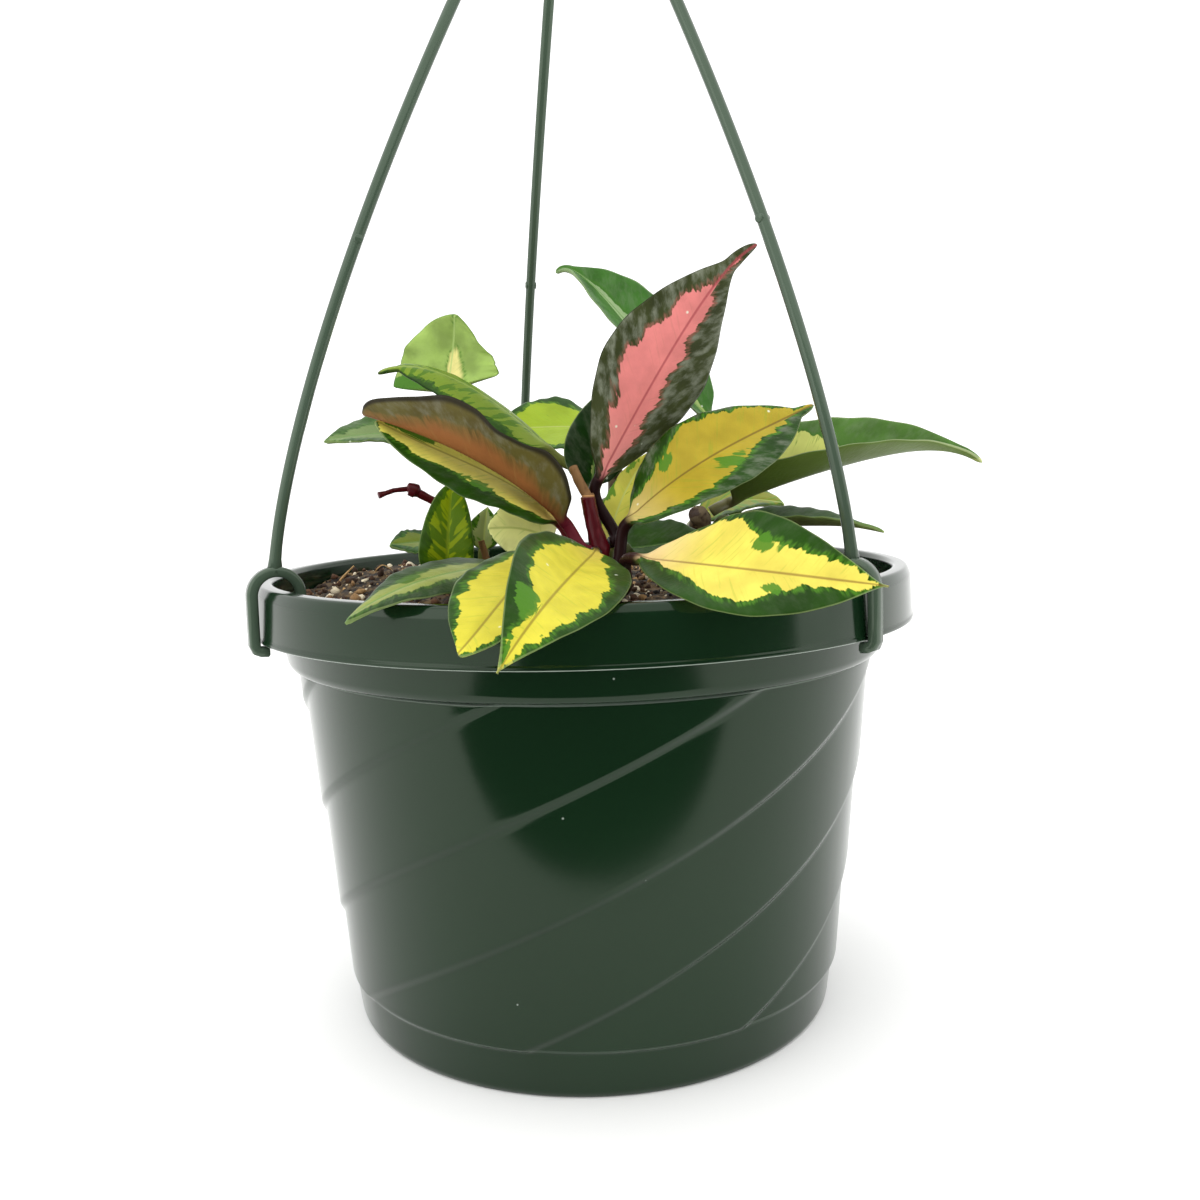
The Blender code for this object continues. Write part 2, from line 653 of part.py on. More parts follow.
def leaf_faces(rings):
    """Triangles between ten-point rings, cut alike on the upper and the lower face."""
    faces = []
    for a, b, c, d in ring_sides(rings, 10):
        if a % 10 < 5:
            faces += [(a, b, c), (a, c, d)]
        else:
            faces += [(a, b, d), (b, c, d)]
    for first in (0, (rings - 1) * 10):
        for j in range(4):
            corner = (first + j, first + j + 1, first + 8 - j, first + 9 - j)
            if first:
                faces += [corner[:3], (corner[0], corner[2], corner[3])]
            else:
                faces += [corner[2::-1], (corner[3], corner[2], corner[0])]
    return faces


def make_leaf(name, leaf):
    rings = stalk_rings(leaf) + [blade_ring(leaf, t) for t in STATIONS]
    solid(name, np.concatenate(rings), leaf_faces(len(rings)), LEAF_COLOURS.get(name, DARK_GREEN))


def main():
    clear_scene()
    make_pot()
    make_soil()
    make_hanger()
    make_stems()
    for name, leaf in LEAVES.items():
        make_leaf(name, leaf)


if __name__ == "__main__":
    main()
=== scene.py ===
"""The looks of a potted hoya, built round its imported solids.

Run as a script, it loads the solids, registers the add-on below, builds each piece through the
add-on's operators and hands the scene over. The tables are in millimetres, as the part's are.
"""

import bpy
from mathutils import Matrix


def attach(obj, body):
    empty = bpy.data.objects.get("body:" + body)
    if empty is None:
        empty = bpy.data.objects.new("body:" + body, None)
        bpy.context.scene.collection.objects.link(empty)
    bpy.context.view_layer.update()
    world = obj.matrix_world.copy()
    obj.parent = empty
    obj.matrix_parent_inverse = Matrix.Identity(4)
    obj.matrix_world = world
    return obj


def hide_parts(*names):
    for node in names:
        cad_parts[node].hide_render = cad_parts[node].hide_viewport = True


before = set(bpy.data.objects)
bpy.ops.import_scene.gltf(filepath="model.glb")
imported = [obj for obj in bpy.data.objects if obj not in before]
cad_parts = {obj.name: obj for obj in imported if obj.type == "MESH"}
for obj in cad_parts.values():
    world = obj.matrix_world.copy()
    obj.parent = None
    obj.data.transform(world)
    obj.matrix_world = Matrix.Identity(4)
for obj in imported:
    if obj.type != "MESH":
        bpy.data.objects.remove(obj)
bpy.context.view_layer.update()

import math
from collections import namedtuple
from functools import partial

import bpy
import numpy as np
from mathutils import Matrix

bl_info = {
    "name": "Potted Hoya",
    "version": (1, 0, 0),
    "blender": (4, 5, 0),
    "location": "View3D > Sidebar > Hoya",
    "description": "Builds a variegated hoya in a ribbed nursery pot with a clip-on hanger",
    "category": "Add Mesh",
}

MM = 0.001
BODY = "root"


# Settings

def linear(code):
    """An sRGB hex colour as linear red, green, blue and alpha."""
    parts = (int(code[i:i + 2], 16) / 255 for i in (1, 3, 5))
    return (*(c / 12.92 if c <= 0.04045 else ((c + 0.055) / 1.055) ** 2.4 for c in parts), 1.0)


def colour_property(name, description, code):
    """A colour, with its default as sRGB hex."""
    return bpy.props.FloatVectorProperty(
        name=name, description=description, subtype="COLOR", size=4, min=0.0, max=1.0,
        default=linear(code))


def length_property(name, description, millimetres):
    """A length, with its default in millimetres."""
    return bpy.props.FloatProperty(
        name=name, description=description, default=millimetres * MM, unit="LENGTH",
        precision=5)


class PotSettings(bpy.types.PropertyGroup):
    """Sizes and colours of the moulded pot."""

    rib_height: length_property("Rib height", "How far each spiral rib stands out", 0.9)
    colour: colour_property("Plastic", "Colour of the pot's plastic", "#0b2010")
    # Colour of the dust specks, and of the pale lines painted along the pot's edges as highlights
    dust_and_highlight: colour_property("Scuffs", "Colour of rubbed edges and dust", "#a3ada4")


class HangerSettings(bpy.types.PropertyGroup):
    """Sizes and colours of the clip-on hanger."""

    thickness: length_property("Arm thickness", "Thickness of an arm at its foot", 2.5)
    colour: colour_property("Plastic", "Colour of the hanger's plastic", "#3b493c")


class SoilSettings(bpy.types.PropertyGroup):
    """Look of the potting mix."""

    roughness: length_property("Lumps", "Height of the lumps in the surface", 1.1)
    # The peat's colour: partly its own, partly painted shade, kept darker for the shade under the
    # leaves
    dark: colour_property("Peat", "Colour of the moist peat", "#120b06")
    bark: colour_property("Bark", "Colour of the bark chips", "#5a3a22")
    light: colour_property("Fibre", "Colour of dry fibres and pale bark", "#c09a66")
    perlite: colour_property("Perlite", "Colour of the perlite grains", "#f0e2c4")


class PlantSettings(bpy.types.PropertyGroup):
    """Sizes and colours shared by the leaves and stems."""

    thickness: length_property("Blade thickness", "Thickness of a blade at its midrib", 1.2)
    ripple: length_property("Margin ripple", "Height of the fine waves along a margin", 0.16)
    stem: colour_property("Young stems", "Colour of the young stems' skin", "#480610")
    node: colour_property("Old stems", "Colour of the older stems' skin", "#3c2a20")
    cork: colour_property("Cork", "Colour of the cork on older stems", "#6f604a")
    wood: colour_property("Dry wood", "Colour of cut ends and the dry stalk", "#7a5a38")


class StageSettings(bpy.types.PropertyGroup):
    """The floor, the dark cloth and the light."""

    floor: colour_property("Floor", "Colour of the paper floor", "#fdfdfc")
    cloth: colour_property("Dark cloth", "Colour of the cloth that the gloss reflects", "#080a08")
    light: bpy.props.FloatProperty(
        name="Light", description="Brightness of the studio light", default=1.0, min=0.0)


# Meshes

def unit(vectors):
    """Vectors at unit length, their components along the last axis."""
    return vectors / np.linalg.norm(vectors, axis=-1, keepdims=True)


def eased(u):
    """A smooth step from 0 to 1: three times the square of u, less twice its cube."""
    return u * u * (3 - 2 * u)


def volume(points, faces):
    """Six times the volume inside, from the pyramids over all faces; below 0 if they face
    inwards."""
    corners = points[faces]
    return sum(np.einsum("ij,ij->", corners[:, 0], np.cross(corners[:, i], corners[:, i + 1]))
               for i in range(1, faces.shape[1] - 1))


def shell(rings):
    """Points and faces of a closed surface through rings, with a middle point at each end."""
    rings = np.asarray(rings, float)
    rows, columns = rings.shape[:2]
    points = np.concatenate([rings.reshape(-1, 3), rings[:1].mean(1), rings[-1:].mean(1)])
    k = np.arange(columns)
    after = (k + 1) % columns
    ring = np.arange(rows - 1)[:, None] * columns
    quads = np.stack([ring + k, ring + after, ring + columns + after, ring + columns + k],
                     axis=-1).reshape(-1, 4)
    last = (rows - 1) * columns
    start = np.stack([after, k, np.full(columns, rows * columns)], axis=-1)
    end = np.stack([last + k, last + after, np.full(columns, rows * columns + 1)], axis=-1)
    triangles = np.concatenate([start, end])
    if volume(points, quads) + volume(points, triangles) < 0:
        quads = quads[:, ::-1]
        triangles = triangles[:, ::-1]
    return points, quads, triangles


def add_object(name, data):
    """A new object of the scene."""
    obj = bpy.data.objects.new(name, data)
    bpy.context.scene.collection.objects.link(obj)
    return obj


def object_from(name, shells):
    """One smooth object at the origin from closed shells in millimetres."""
    points, faces, base = [], [], 0
    for part, quads, triangles in shells:
        points.append(part)
        faces += (quads + base).tolist() + (triangles + base).tolist()
        base += len(part)
    mesh = bpy.data.meshes.new(name)
    mesh.from_pydata((np.concatenate(points) * MM).tolist(), [], faces)
    mesh.polygons.foreach_set("use_smooth", np.ones(len(mesh.polygons), bool))
    return add_object(name, mesh)


def piece(name, shells, finish, replaces=()):
    """One object from closed shells in millimetres, riding on the pot's body."""
    obj = object_from(name, shells)
    obj.data.materials.append(finish)
    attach(obj, BODY)
    if replaces:
        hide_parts(*replaces)
    return obj


def attribute(obj, name, values):
    """A number or a vector at each point of the mesh, for the materials to read."""
    kind, field = ("FLOAT_VECTOR", "vector") if values.ndim == 2 else ("FLOAT", "value")
    made = obj.data.attributes.new(name, kind, "POINT")
    made.data.foreach_set(field, values.astype(np.float32).ravel())


UP = (0.0, 0.0, 1.0)
NOISE_CELLS = 64
# Where on the noise's lattice the axis of the pot stands
NOISE_PLACE = (31.7, 17.3)


def lattice_noise(x, y, size, seed):
    """Smooth random heights from -1 to 1: random values on a square lattice of that size,
    blended between its corners with a smooth step."""
    table = np.random.default_rng(seed).uniform(-1, 1, (NOISE_CELLS, NOISE_CELLS))
    u, v = x / size + NOISE_PLACE[0], y / size + NOISE_PLACE[1]
    i, j = np.floor(u).astype(int), np.floor(v).astype(int)
    fu, fv = eased(u - i), eased(v - j)
    i, after = i % NOISE_CELLS, (i + 1) % NOISE_CELLS
    low, high = (table[i, row] * (1 - fu) + table[after, row] * fu
                 for row in (j % NOISE_CELLS, (j + 1) % NOISE_CELLS))
    return low * (1 - fv) + high * fv


def squared(side, way):
    """The part of a direction that is square to a way, at unit length."""
    return unit(side - np.dot(side, way) * way)


def carried(side, ways):
    """A direction carried along a path: square to its way at each point, and turned as little
    as possible from point to point."""
    sides = []
    for way in ways:
        side = squared(side, way)
        sides.append(side)
    return np.array(sides)


def tube(path, radii, sides, flats=0.0):
    """Rings of a tube: at each point of the path, a circle of that radius. With flats, each
    ring is a polygon with narrow chamfers of that many degrees at its corners."""
    path = np.asarray(path, float)
    ways = unit(np.gradient(path, axis=0))
    across = carried(np.array((1.0, 0.0, 0.0)), ways)
    up = np.cross(ways, across)
    turns = (np.arange(sides) + 0.5) * 2 * math.pi / sides
    if flats:
        chamfer = math.radians(flats) / 2
        turns = np.stack([turns - chamfer, turns + chamfer], axis=-1).ravel()
    radii = np.broadcast_to(np.asarray(radii, float), (len(path),))
    ring = (np.cos(turns)[None, :, None] * across[:, None]
            + np.sin(turns)[None, :, None] * up[:, None])
    return path[:, None] + radii[:, None, None] * ring


def spindle(middle, way, rings, sides):
    """A closed round shell, from how far along a way from its middle each ring lies, and the
    ring's radius."""
    away, radii = np.array(rings).T
    return shell(tube(middle + np.array(way) * away[:, None], radii, sides))


def distances(points):
    """How far along a line of points each one lies."""
    return np.r_[0, np.cumsum(np.linalg.norm(np.diff(points[:, :3], axis=0), axis=1))]


def through(points, count):
    """A smooth path through points: a cubic between each two, with each point's slope taken
    from its neighbours."""
    points = np.asarray(points, float)
    steps = distances(points)
    slopes = np.gradient(points, steps, axis=0)
    at = np.linspace(0, steps[-1], count)
    k = np.clip(np.searchsorted(steps, at, side="right") - 1, 0, len(points) - 2)
    span = (steps[k + 1] - steps[k])[:, None]
    u = ((at - steps[k]) / (steps[k + 1] - steps[k]))[:, None]
    return ((2 * u ** 3 - 3 * u ** 2 + 1) * points[k] + (u ** 3 - 2 * u ** 2 + u) * span * slopes[k]
            + (3 * u ** 2 - 2 * u ** 3) * points[k + 1] + (u ** 3 - u ** 2) * span * slopes[k + 1])


def rounded(corners, radius, steps):
    """A line of corners with each one rounded off: a quadratic curve between points set back
    from the corner along both of its sides, by less than half of either."""
    corners = np.asarray(corners, float)
    line = [corners[0]]
    for before, corner, after in zip(corners[:-2], corners[1:-1], corners[2:]):
        lengths = [np.linalg.norm((end - corner)[:2]) for end in (before, after)]
        first, last = (corner + (end - corner) * (min(radius, length * 0.45) / length)
                       for end, length in zip((before, after), lengths))
        for u in np.linspace(0, 1, steps):
            line.append((1 - u) ** 2 * first + 2 * u * (1 - u) * corner + u * u * last)
    line.append(corners[-1])
    return np.array(line)


# Materials

# A noise's numbers are its scale, its detail and its roughness; over the object's own
# coordinates the scale is in features per metre. A map range's are the two values that it takes
# and the two that it gives, 0 and 1 if left out
SMOOTH = {"interpolation_type": "SMOOTHSTEP"}
COLOURS = {"data_type": "RGBA"}
TIMES = {"operation": "MULTIPLY"}


def shown_output(node):
    """The first of a node's outputs that its settings show."""
    return next(output for output in node.outputs if output.enabled)


def add_node(tree, kind, *values, named=None, **settings):
    """Add a node with its settings, and fill its shown inputs in order, and others by name. A
    value is a number or colour to set, or a node or socket to link from."""
    made = tree.nodes.new("ShaderNode" + kind)
    made.location = (220 * (len(tree.nodes) % 9) - 1600, -260 * (len(tree.nodes) // 9))
    for key, value in settings.items():
        setattr(made, key, value)
    shown = [socket for socket in made.inputs if socket.enabled]
    inputs = [*zip(shown, values)]
    inputs += [(made.inputs[key], value) for key, value in (named or {}).items()]
    for socket, value in inputs:
        if isinstance(value, bpy.types.Node):
            value = shown_output(value)
        if isinstance(value, bpy.types.NodeSocket):
            tree.links.new(value, socket)
        else:
            socket.default_value = value
    return made


def new_finish(name, **sockets):
    """A Principled material with its constant sockets set. Returns it, a function that adds
    nodes to it, and the object's own coordinates."""
    made = bpy.data.materials.new(name)
    made.use_nodes = True
    shader = made.node_tree.nodes["Principled BSDF"]
    for key, value in sockets.items():
        shader.inputs[key.replace("_", " ")].default_value = value
    node = partial(add_node, made.node_tree)
    return made, node, node("TexCoord").outputs["Object"]


def shade(colour, factor):
    """A colour made lighter or darker, never past white."""
    return (*(min(1.0, channel * factor) for channel in colour[:3]), 1.0)


def finished(made, tone, rough, height, strength, distance):
    """Link a material's colour, roughness and bump, whose full depth is a distance in mm."""
    tree = made.node_tree
    bump = add_node(tree, "Bump", named={
        "Height": height, "Strength": strength, "Distance": distance * MM})
    shader = tree.nodes["Principled BSDF"]
    for key, source in (("Base Color", tone), ("Roughness", rough), ("Normal", bump)):
        tree.links.new(shown_output(source), shader.inputs[key])
    return made


def moulded_plastic(name, colour, dust_and_highlight, highlight_lines=()):
    """Injection-moulded polypropylene: the polished mould gives it a clear, slightly uneven
    gloss over a deep even green, and dust specks about 0.4 mm across. Paler lines along
    edges, given as (height, half width, share) in mm, are painted highlights."""
    made, node, place = new_finish(name, IOR=1.49, Specular_IOR_Level=0.42,
                                   Specular_Tint=linear("#eaf6e4"))
    clouds = node("TexNoise", place, 14.0, 4.0)
    grain = node("TexNoise", place, 420.0, 2.0)
    tone = node("Mix", node("MapRange", clouds, 0.3, 0.8, **SMOOTH), colour,
                shade(colour, 1.3), **COLOURS)
    cells = node("TexVoronoi", place, 190.0)
    luck = node("MapRange", node("SeparateColor", cells.outputs["Color"]), 0.94, 0.95)
    dot = node("MapRange", cells.outputs["Distance"], 0.06, 0.025, **SMOOTH)
    speck = node("Math", dot, luck, **TIMES)
    tone = node("Mix", node("Math", speck, 0.55, **TIMES), tone, dust_and_highlight, **COLOURS)
    height = node("SeparateXYZ", place).outputs["Z"]
    # Pale lines painted along the edges: painted highlights that these edges catch
    for z, half, share in highlight_lines:
        above = node("Math", height, z * MM, operation="SUBTRACT")
        away = node("Math", above, operation="ABSOLUTE")
        ragged_distance = node("Math", grain, 0.25 * half * MM, away, operation="MULTIPLY_ADD")
        painted_highlight = node("MapRange", ragged_distance, half * MM, 0.6 * half * MM, 0.0, share, **SMOOTH)
        tone = node("Mix", painted_highlight, tone, dust_and_highlight, **COLOURS)
    rough = node("MapRange", clouds, 0.2, 0.8, 0.1, 0.19)
    swell = node("Math", clouds, 5.0, grain, operation="MULTIPLY_ADD")
    return finished(made, tone, rough, swell, 0.08, 0.06)


def peat_mix(name, dark, light):
    """Moist sieved peat: matt, with dry tan fibres 0.5 to 1 mm wide, drawn a little coarser than
    they are so that they show. Where its bump is low it is painted nearly black, a painted shade
    in the hollows."""
    made, node, place = new_finish(name)
    lumps = node("TexNoise", place, 260.0, 5.0, 0.65)
    combed = node("Mapping", place, named={"Scale": (1.0, 0.35, 1.0)})
    fibres = node("TexNoise", combed, 900.0, 3.0, 0.6)
    # Painted shade: nearly black where the lumps, and so the bump below, are low
    tone = node("Mix", node("MapRange", lumps, 0.42, 0.68, **SMOOTH), dark, shade(light, 0.3),
                **COLOURS)
    tone = node("Mix", node("MapRange", fibres, 0.6, 0.74, **SMOOTH), tone, light, **COLOURS)
    relief = node("Math", fibres, 0.5, lumps, operation="MULTIPLY_ADD")
    rough = node("MapRange", lumps, 0.0, 1.0, 0.85, 1.0)
    return finished(made, tone, rough, relief, 0.9, 1.2)


def crumb_skin(name, first, second):
    """Broken bark, peat or expanded perlite: matt, pitted grains, each in a tone of its own
    between two colours."""
    made, node, place = new_finish(name)
    own = node("Attribute", attribute_name="tone").outputs["Fac"]
    grain = node("TexNoise", place, 1500.0, 3.0)
    tone = node("Mix", own, first, second, **COLOURS)
    pits = node("MapRange", grain, 0.48, 0.78, 0.0, 0.8, **SMOOTH)
    tone = node("Mix", pits, tone, shade(first, 0.6), **COLOURS)
    rough = node("MapRange", grain, 0.0, 1.0, 0.8, 1.0)
    return finished(made, tone, rough, grain, 0.6, 0.3)


def stem_skin(name, skin, dry, dry_share, cut_height=None):
    """A grown hoya stem: smooth waxy burgundy skin with paler lengthwise streaks and corky
    grey-tan spots. Above a cut it has lost its skin and is dry, pale wood with a rough end."""
    made, node, place = new_finish(name, Specular_IOR_Level=0.2)
    drawn = node("Mapping", place, named={"Scale": (1.0, 1.0, 0.18)})
    streaks = node("TexNoise", drawn, 900.0, 3.0, 0.6)
    blotches = node("TexNoise", place, 260.0, 3.0)
    light = node("MapRange", streaks, 0.45, 0.8, 0.0, 0.7, **SMOOTH)
    tone = node("Mix", light, skin, shade(skin, 1.9), **COLOURS)
    spread = 0.4 * dry_share
    cork = node("MapRange", blotches, 0.72 - spread, 0.84 - spread, **SMOOTH)
    wood = node("Mix", light, dry, shade(dry, 0.4), **COLOURS)
    if cut_height is not None:
        height = node("SeparateXYZ", place).outputs["Z"]
        bare = node("MapRange", height, cut_height * MM, (cut_height + 0.5) * MM)
        cork = node("Math", cork, bare, operation="MAXIMUM")
        ring = node("Math", height, cut_height * MM, 0.6 * MM, operation="COMPARE")
        wood = node("Mix", ring, wood, shade(dry, 2.4), **COLOURS)
    tone = node("Mix", cork, tone, wood, **COLOURS)
    rough = node("MapRange", cork, 0.0, 1.0, 0.3, 0.75)
    return finished(made, tone, rough, streaks, 0.4, 0.35)


# How a leaf is coloured. Hex colours: the light middle, a flush at its base, the margin, the
# green between them, the midrib, the underside and the stalk. Then the margin's share of the
# half width on the two sides of the midrib, at even steps from base to tip; patches of the green
# between, as (place along, place across, half length, half width); the margin's raggedness in
# mm; and how silvery, islanded, flecked and rough the leaf is, each from 0 to 1, the silver
# being partly the leaf's own flecking and partly a painted sheen. Last the rim's colour, width
# in mm and strength, a pale rim being partly painted light along the thin edge; how far the
# plain underside colour covers the pattern below, and how soft the pattern's boundary is, as a
# multiple of an ordinary leaf's
Look = namedtuple("Look", "middle flush margin between rib under stalk left right patches ragged"
                  " silver islands flecks rough rim edge rimmed cover soft",
                  defaults=("#8a9a62", 0.28, 0.4, 0.75, 1.0))
EVEN = (1.0, 1.0)
GOLD = Look(
    "#d2c840", "#dcc888", "#1f4204", "#47781c", "#7d6a24", "#a8ad48", "#2c1414", (0.3, 0.3),
    (0.3, 0.3), (), 1.5, 0.06, 0.05, 0.5, 0.36)
GREEN = Look(
    "#a9b56c", "#9aae5c", "#264e10", "#3f6c22", "#5f8440", "#5f7440", "#4c5330", EVEN, EVEN, (),
    1.6, 0.15, 0.3, 0.6, 0.36)
LIME = Look(
    "#9db13a", "#b3c05c", "#2b580c", "#5c8820", "#b4bf6c", "#87984c", "#6a7038", (0.25, 0.25),
    (0.25, 0.25), (), 1.8, 0.05, 0.35, 0.6, 0.38)
LOOKS = {
    "leaf_pink": GOLD._replace(
        middle="#dc817e", flush="#e39490", margin="#3b4223", between="#8a5a4c", rib="#9a4048",
        under="#66694e", stalk="#1c0a0c",
        left=(0.8, 0.66, 0.52, 0.42, 0.32, 0.5, 0.58, 0.7, 1.3, 4.0),
        right=(0.6, 0.62, 0.62, 0.66, 0.74, 0.76, 0.8, 0.86, 1.3, 4.0), ragged=2.6, silver=0.6,
        islands=0.0, flecks=1.0, rim="#262a18", rimmed=0.6),
    "leaf_bronze": GOLD._replace(
        middle="#935e33", flush="#5e2c14", margin="#56562a", between="#7a6234", rib="#7c4426",
        under="#84583c", stalk="#571622", left=(0.75, 0.7, 0.62, 0.55, 0.5, 0.48, 0.55, 0.75, 1.0),
        right=(0.3, 0.3, 0.35, 0.4, 0.42, 0.42, 0.42, 0.45, 0.6), ragged=0.8, silver=0.35,
        flecks=0.2, rim="#23201a", edge=1.5, rimmed=0.9, cover=0.12, soft=12.0),
    "leaf_yellow_left": GOLD._replace(
        middle="#ece266", flush="#e0c070", rib="#9a8c3c", stalk="#5c1c22",
        left=(0.2, 0.3, 0.4, 0.45, 0.48, 0.5, 0.45, 0.4, 0.3),
        right=(0.05, 0.05, 0.05, 0.05, 0.06, 0.1, 0.4, 0.35, 0.2),
        patches=((0.52, -0.5, 0.06, 0.1), (0.84, 0.3, 0.12, 0.25))),
    "leaf_olive": GOLD._replace(
        middle="#aa972a", flush="#d0bc78", rib="#5e451c", stalk="#241010",
        left=(0.12, 0.5, 0.6, 0.34, 0.14, 0.1, 0.12, 0.25, 0.5),
        right=(0.1, 0.28, 0.3, 0.3, 0.34, 0.6, 0.78, 0.85, 1.0),
        patches=((0.57, 0.36, 0.07, 0.16), (0.3, -0.5, 0.08, 0.12)), silver=0.4, ragged=1.9),
    "leaf_gold_front": GOLD._replace(
        middle="#d0c63e", flush="#d3bc58",
        left=(0.3, 0.5, 0.46, 0.38, 0.3, 0.26, 0.3, 0.42, 0.36, 0.4),
        right=(0.5, 0.42, 0.36, 0.32, 0.32, 0.3, 0.4, 0.85, 0.6, 0.45, 0.4),
        patches=((0.71, 0.42, 0.06, 0.36), (0.8, -0.6, 0.03, 0.12), (0.92, 0.5, 0.06, 0.2))),
    "leaf_gold_left": GOLD._replace(
        middle="#cdc33c", flush="#d2c25c", left=(0.3, 0.3, 0.26, 0.2, 0.2, 0.2, 0.24, 0.2, 0.25),
        right=(0.5, 0.46, 0.36, 0.26, 0.24, 0.22, 0.26, 0.22, 0.3)),
    "leaf_gold_right": GOLD._replace(
        middle="#e0d058", flush="#e0bf98", rib="#7c5c2a",
        left=(0.0, 0.02, 0.08, 0.16, 0.46, 0.42, 0.34, 0.28, 0.3),
        right=(0.3, 0.75, 0.6, 0.36, 0.33, 0.62, 0.66, 0.38, 0.25),
        patches=((0.5, -0.5, 0.05, 0.1), (0.57, 0.4, 0.05, 0.1)), flecks=0.7),
    "leaf_pale_strip": LIME._replace(
        middle="#c6c24e", flush="#cfc880", margin="#5a8430", left=(0.1, 0.1), right=(0.1, 0.1),
        patches=((0.75, -0.7, 0.12, 0.3),)),
    "leaf_pale_mid": LIME._replace(
        middle="#eef0a0", flush="#f0eeb8", left=(0.06, 0.06), right=(0.06, 0.06), islands=0.0),
    "leaf_dark_left": GREEN._replace(
        middle="#858f48", flush="#4c6a24", margin="#1f3c0c", between="#3f601c",
        left=(1.1, 0.95, 0.78, 0.66, 0.6, 0.6, 0.56, 0.5, 0.4),
        right=(1.1, 0.85, 0.64, 0.6, 0.62, 0.68, 0.56, 0.45, 0.3), patches=((0.6, 0.3, 0.06, 0.2),),
        ragged=1.2, silver=0.12, islands=0.2, soft=2.0),
    "leaf_dark_low": GREEN._replace(margin="#335a12", between="#1d4410"),
    "leaf_dark_mid": GREEN._replace(margin="#103206", between="#1d460e"),
    "leaf_long_right": GREEN._replace(
        middle="#c8cc70", left=(0.12, 0.1, 0.06, 0.1, 0.6, 1.1, 1.2, 1.3, 1.3), margin="#4c722e",
        under="#5f7030", stalk="#5f5c3c", ragged=2.2, rim="#b4bd90", rimmed=0.5),
    "leaf_thin_right": GREEN._replace(under="#6c7c44", margin="#33571a", rib="#8a9c62"),
    "leaf_lime_right": LIME._replace(
        middle="#85891c", flush="#98902c", margin="#34520c", islands=0.9),
    "leaf_crinkled": LIME._replace(
        middle="#dfd688", flush="#d2cc84", margin="#94b058", between="#3f6f1e", rib="#a4bc70",
        left=(0.98, 0.98, 0.98, 0.98, 1.0, 1.2, 1.2, 1.2, 1.2),
        right=(0.7, 0.7, 0.72, 0.76, 0.84, 0.95, 1.2, 1.2, 1.2), patches=((0.05, -0.6, 0.2, 0.5),),
        ragged=1.0, islands=0.0, rim="#3c6420", edge=0.5, soft=6.0),
    "leaf_grey_left": GREEN._replace(
        middle="#748a54", left=(0.4, 0.4), right=(0.55, 0.5), margin="#3a5c24", between="#54743a",
        silver=0.3, soft=2.0),
    "leaf_speckled": LIME._replace(
        middle="#8ca010", flush="#93a41c", margin="#36590c", between="#486c0c", rib="#758a14",
        left=(0.6, 0.5, 0.42, 0.38, 0.35, 0.4, 0.6), right=(0.12, 0.1), islands=1.0),
    "leaf_small_left": GREEN._replace(middle="#74842c", left=(0.5, 0.5), right=(0.5, 0.5)),
    "leaf_curl_low": LIME._replace(middle="#a0ac70", left=(0.3, 0.3), right=(0.3, 0.3)),
    "leaf_lime": LIME._replace(
        middle="#718a24", flush="#84963a", margin="#28490c", between="#446a12", rib="#8a9c46",
        left=(0.35, 0.3, 0.3, 0.4), right=(0.3, 0.36, 0.3, 0.4), islands=0.9, rim="#1c3412",
        edge=0.6, rimmed=0.8),
    "leaf_lime_back": LIME._replace(
        middle="#9cb428", flush="#a4be2e", margin="#28500e", left=(0.15, 0.1, 0.15),
        right=(0.36, 0.3, 0.24, 0.36)),
    "leaf_green_back": GREEN._replace(
        middle="#8fa878", margin="#3a6a24", left=(0.85, 0.82, 0.88, 1.0),
        right=(0.85, 0.82, 0.88, 1.0), ragged=0.6, rim="#a4b48a", edge=0.5),
}


# How far the lobes, tufts and teeth of a margin reach, as multiples of its raggedness
TUFTS = (2.4, 2.2, 0.6)
# The margin's grey streaks: partly silver flecking, partly painted sheen
SILVER_SHEEN = linear("#8d9282")
FLECK = linear("#dfe6d2")


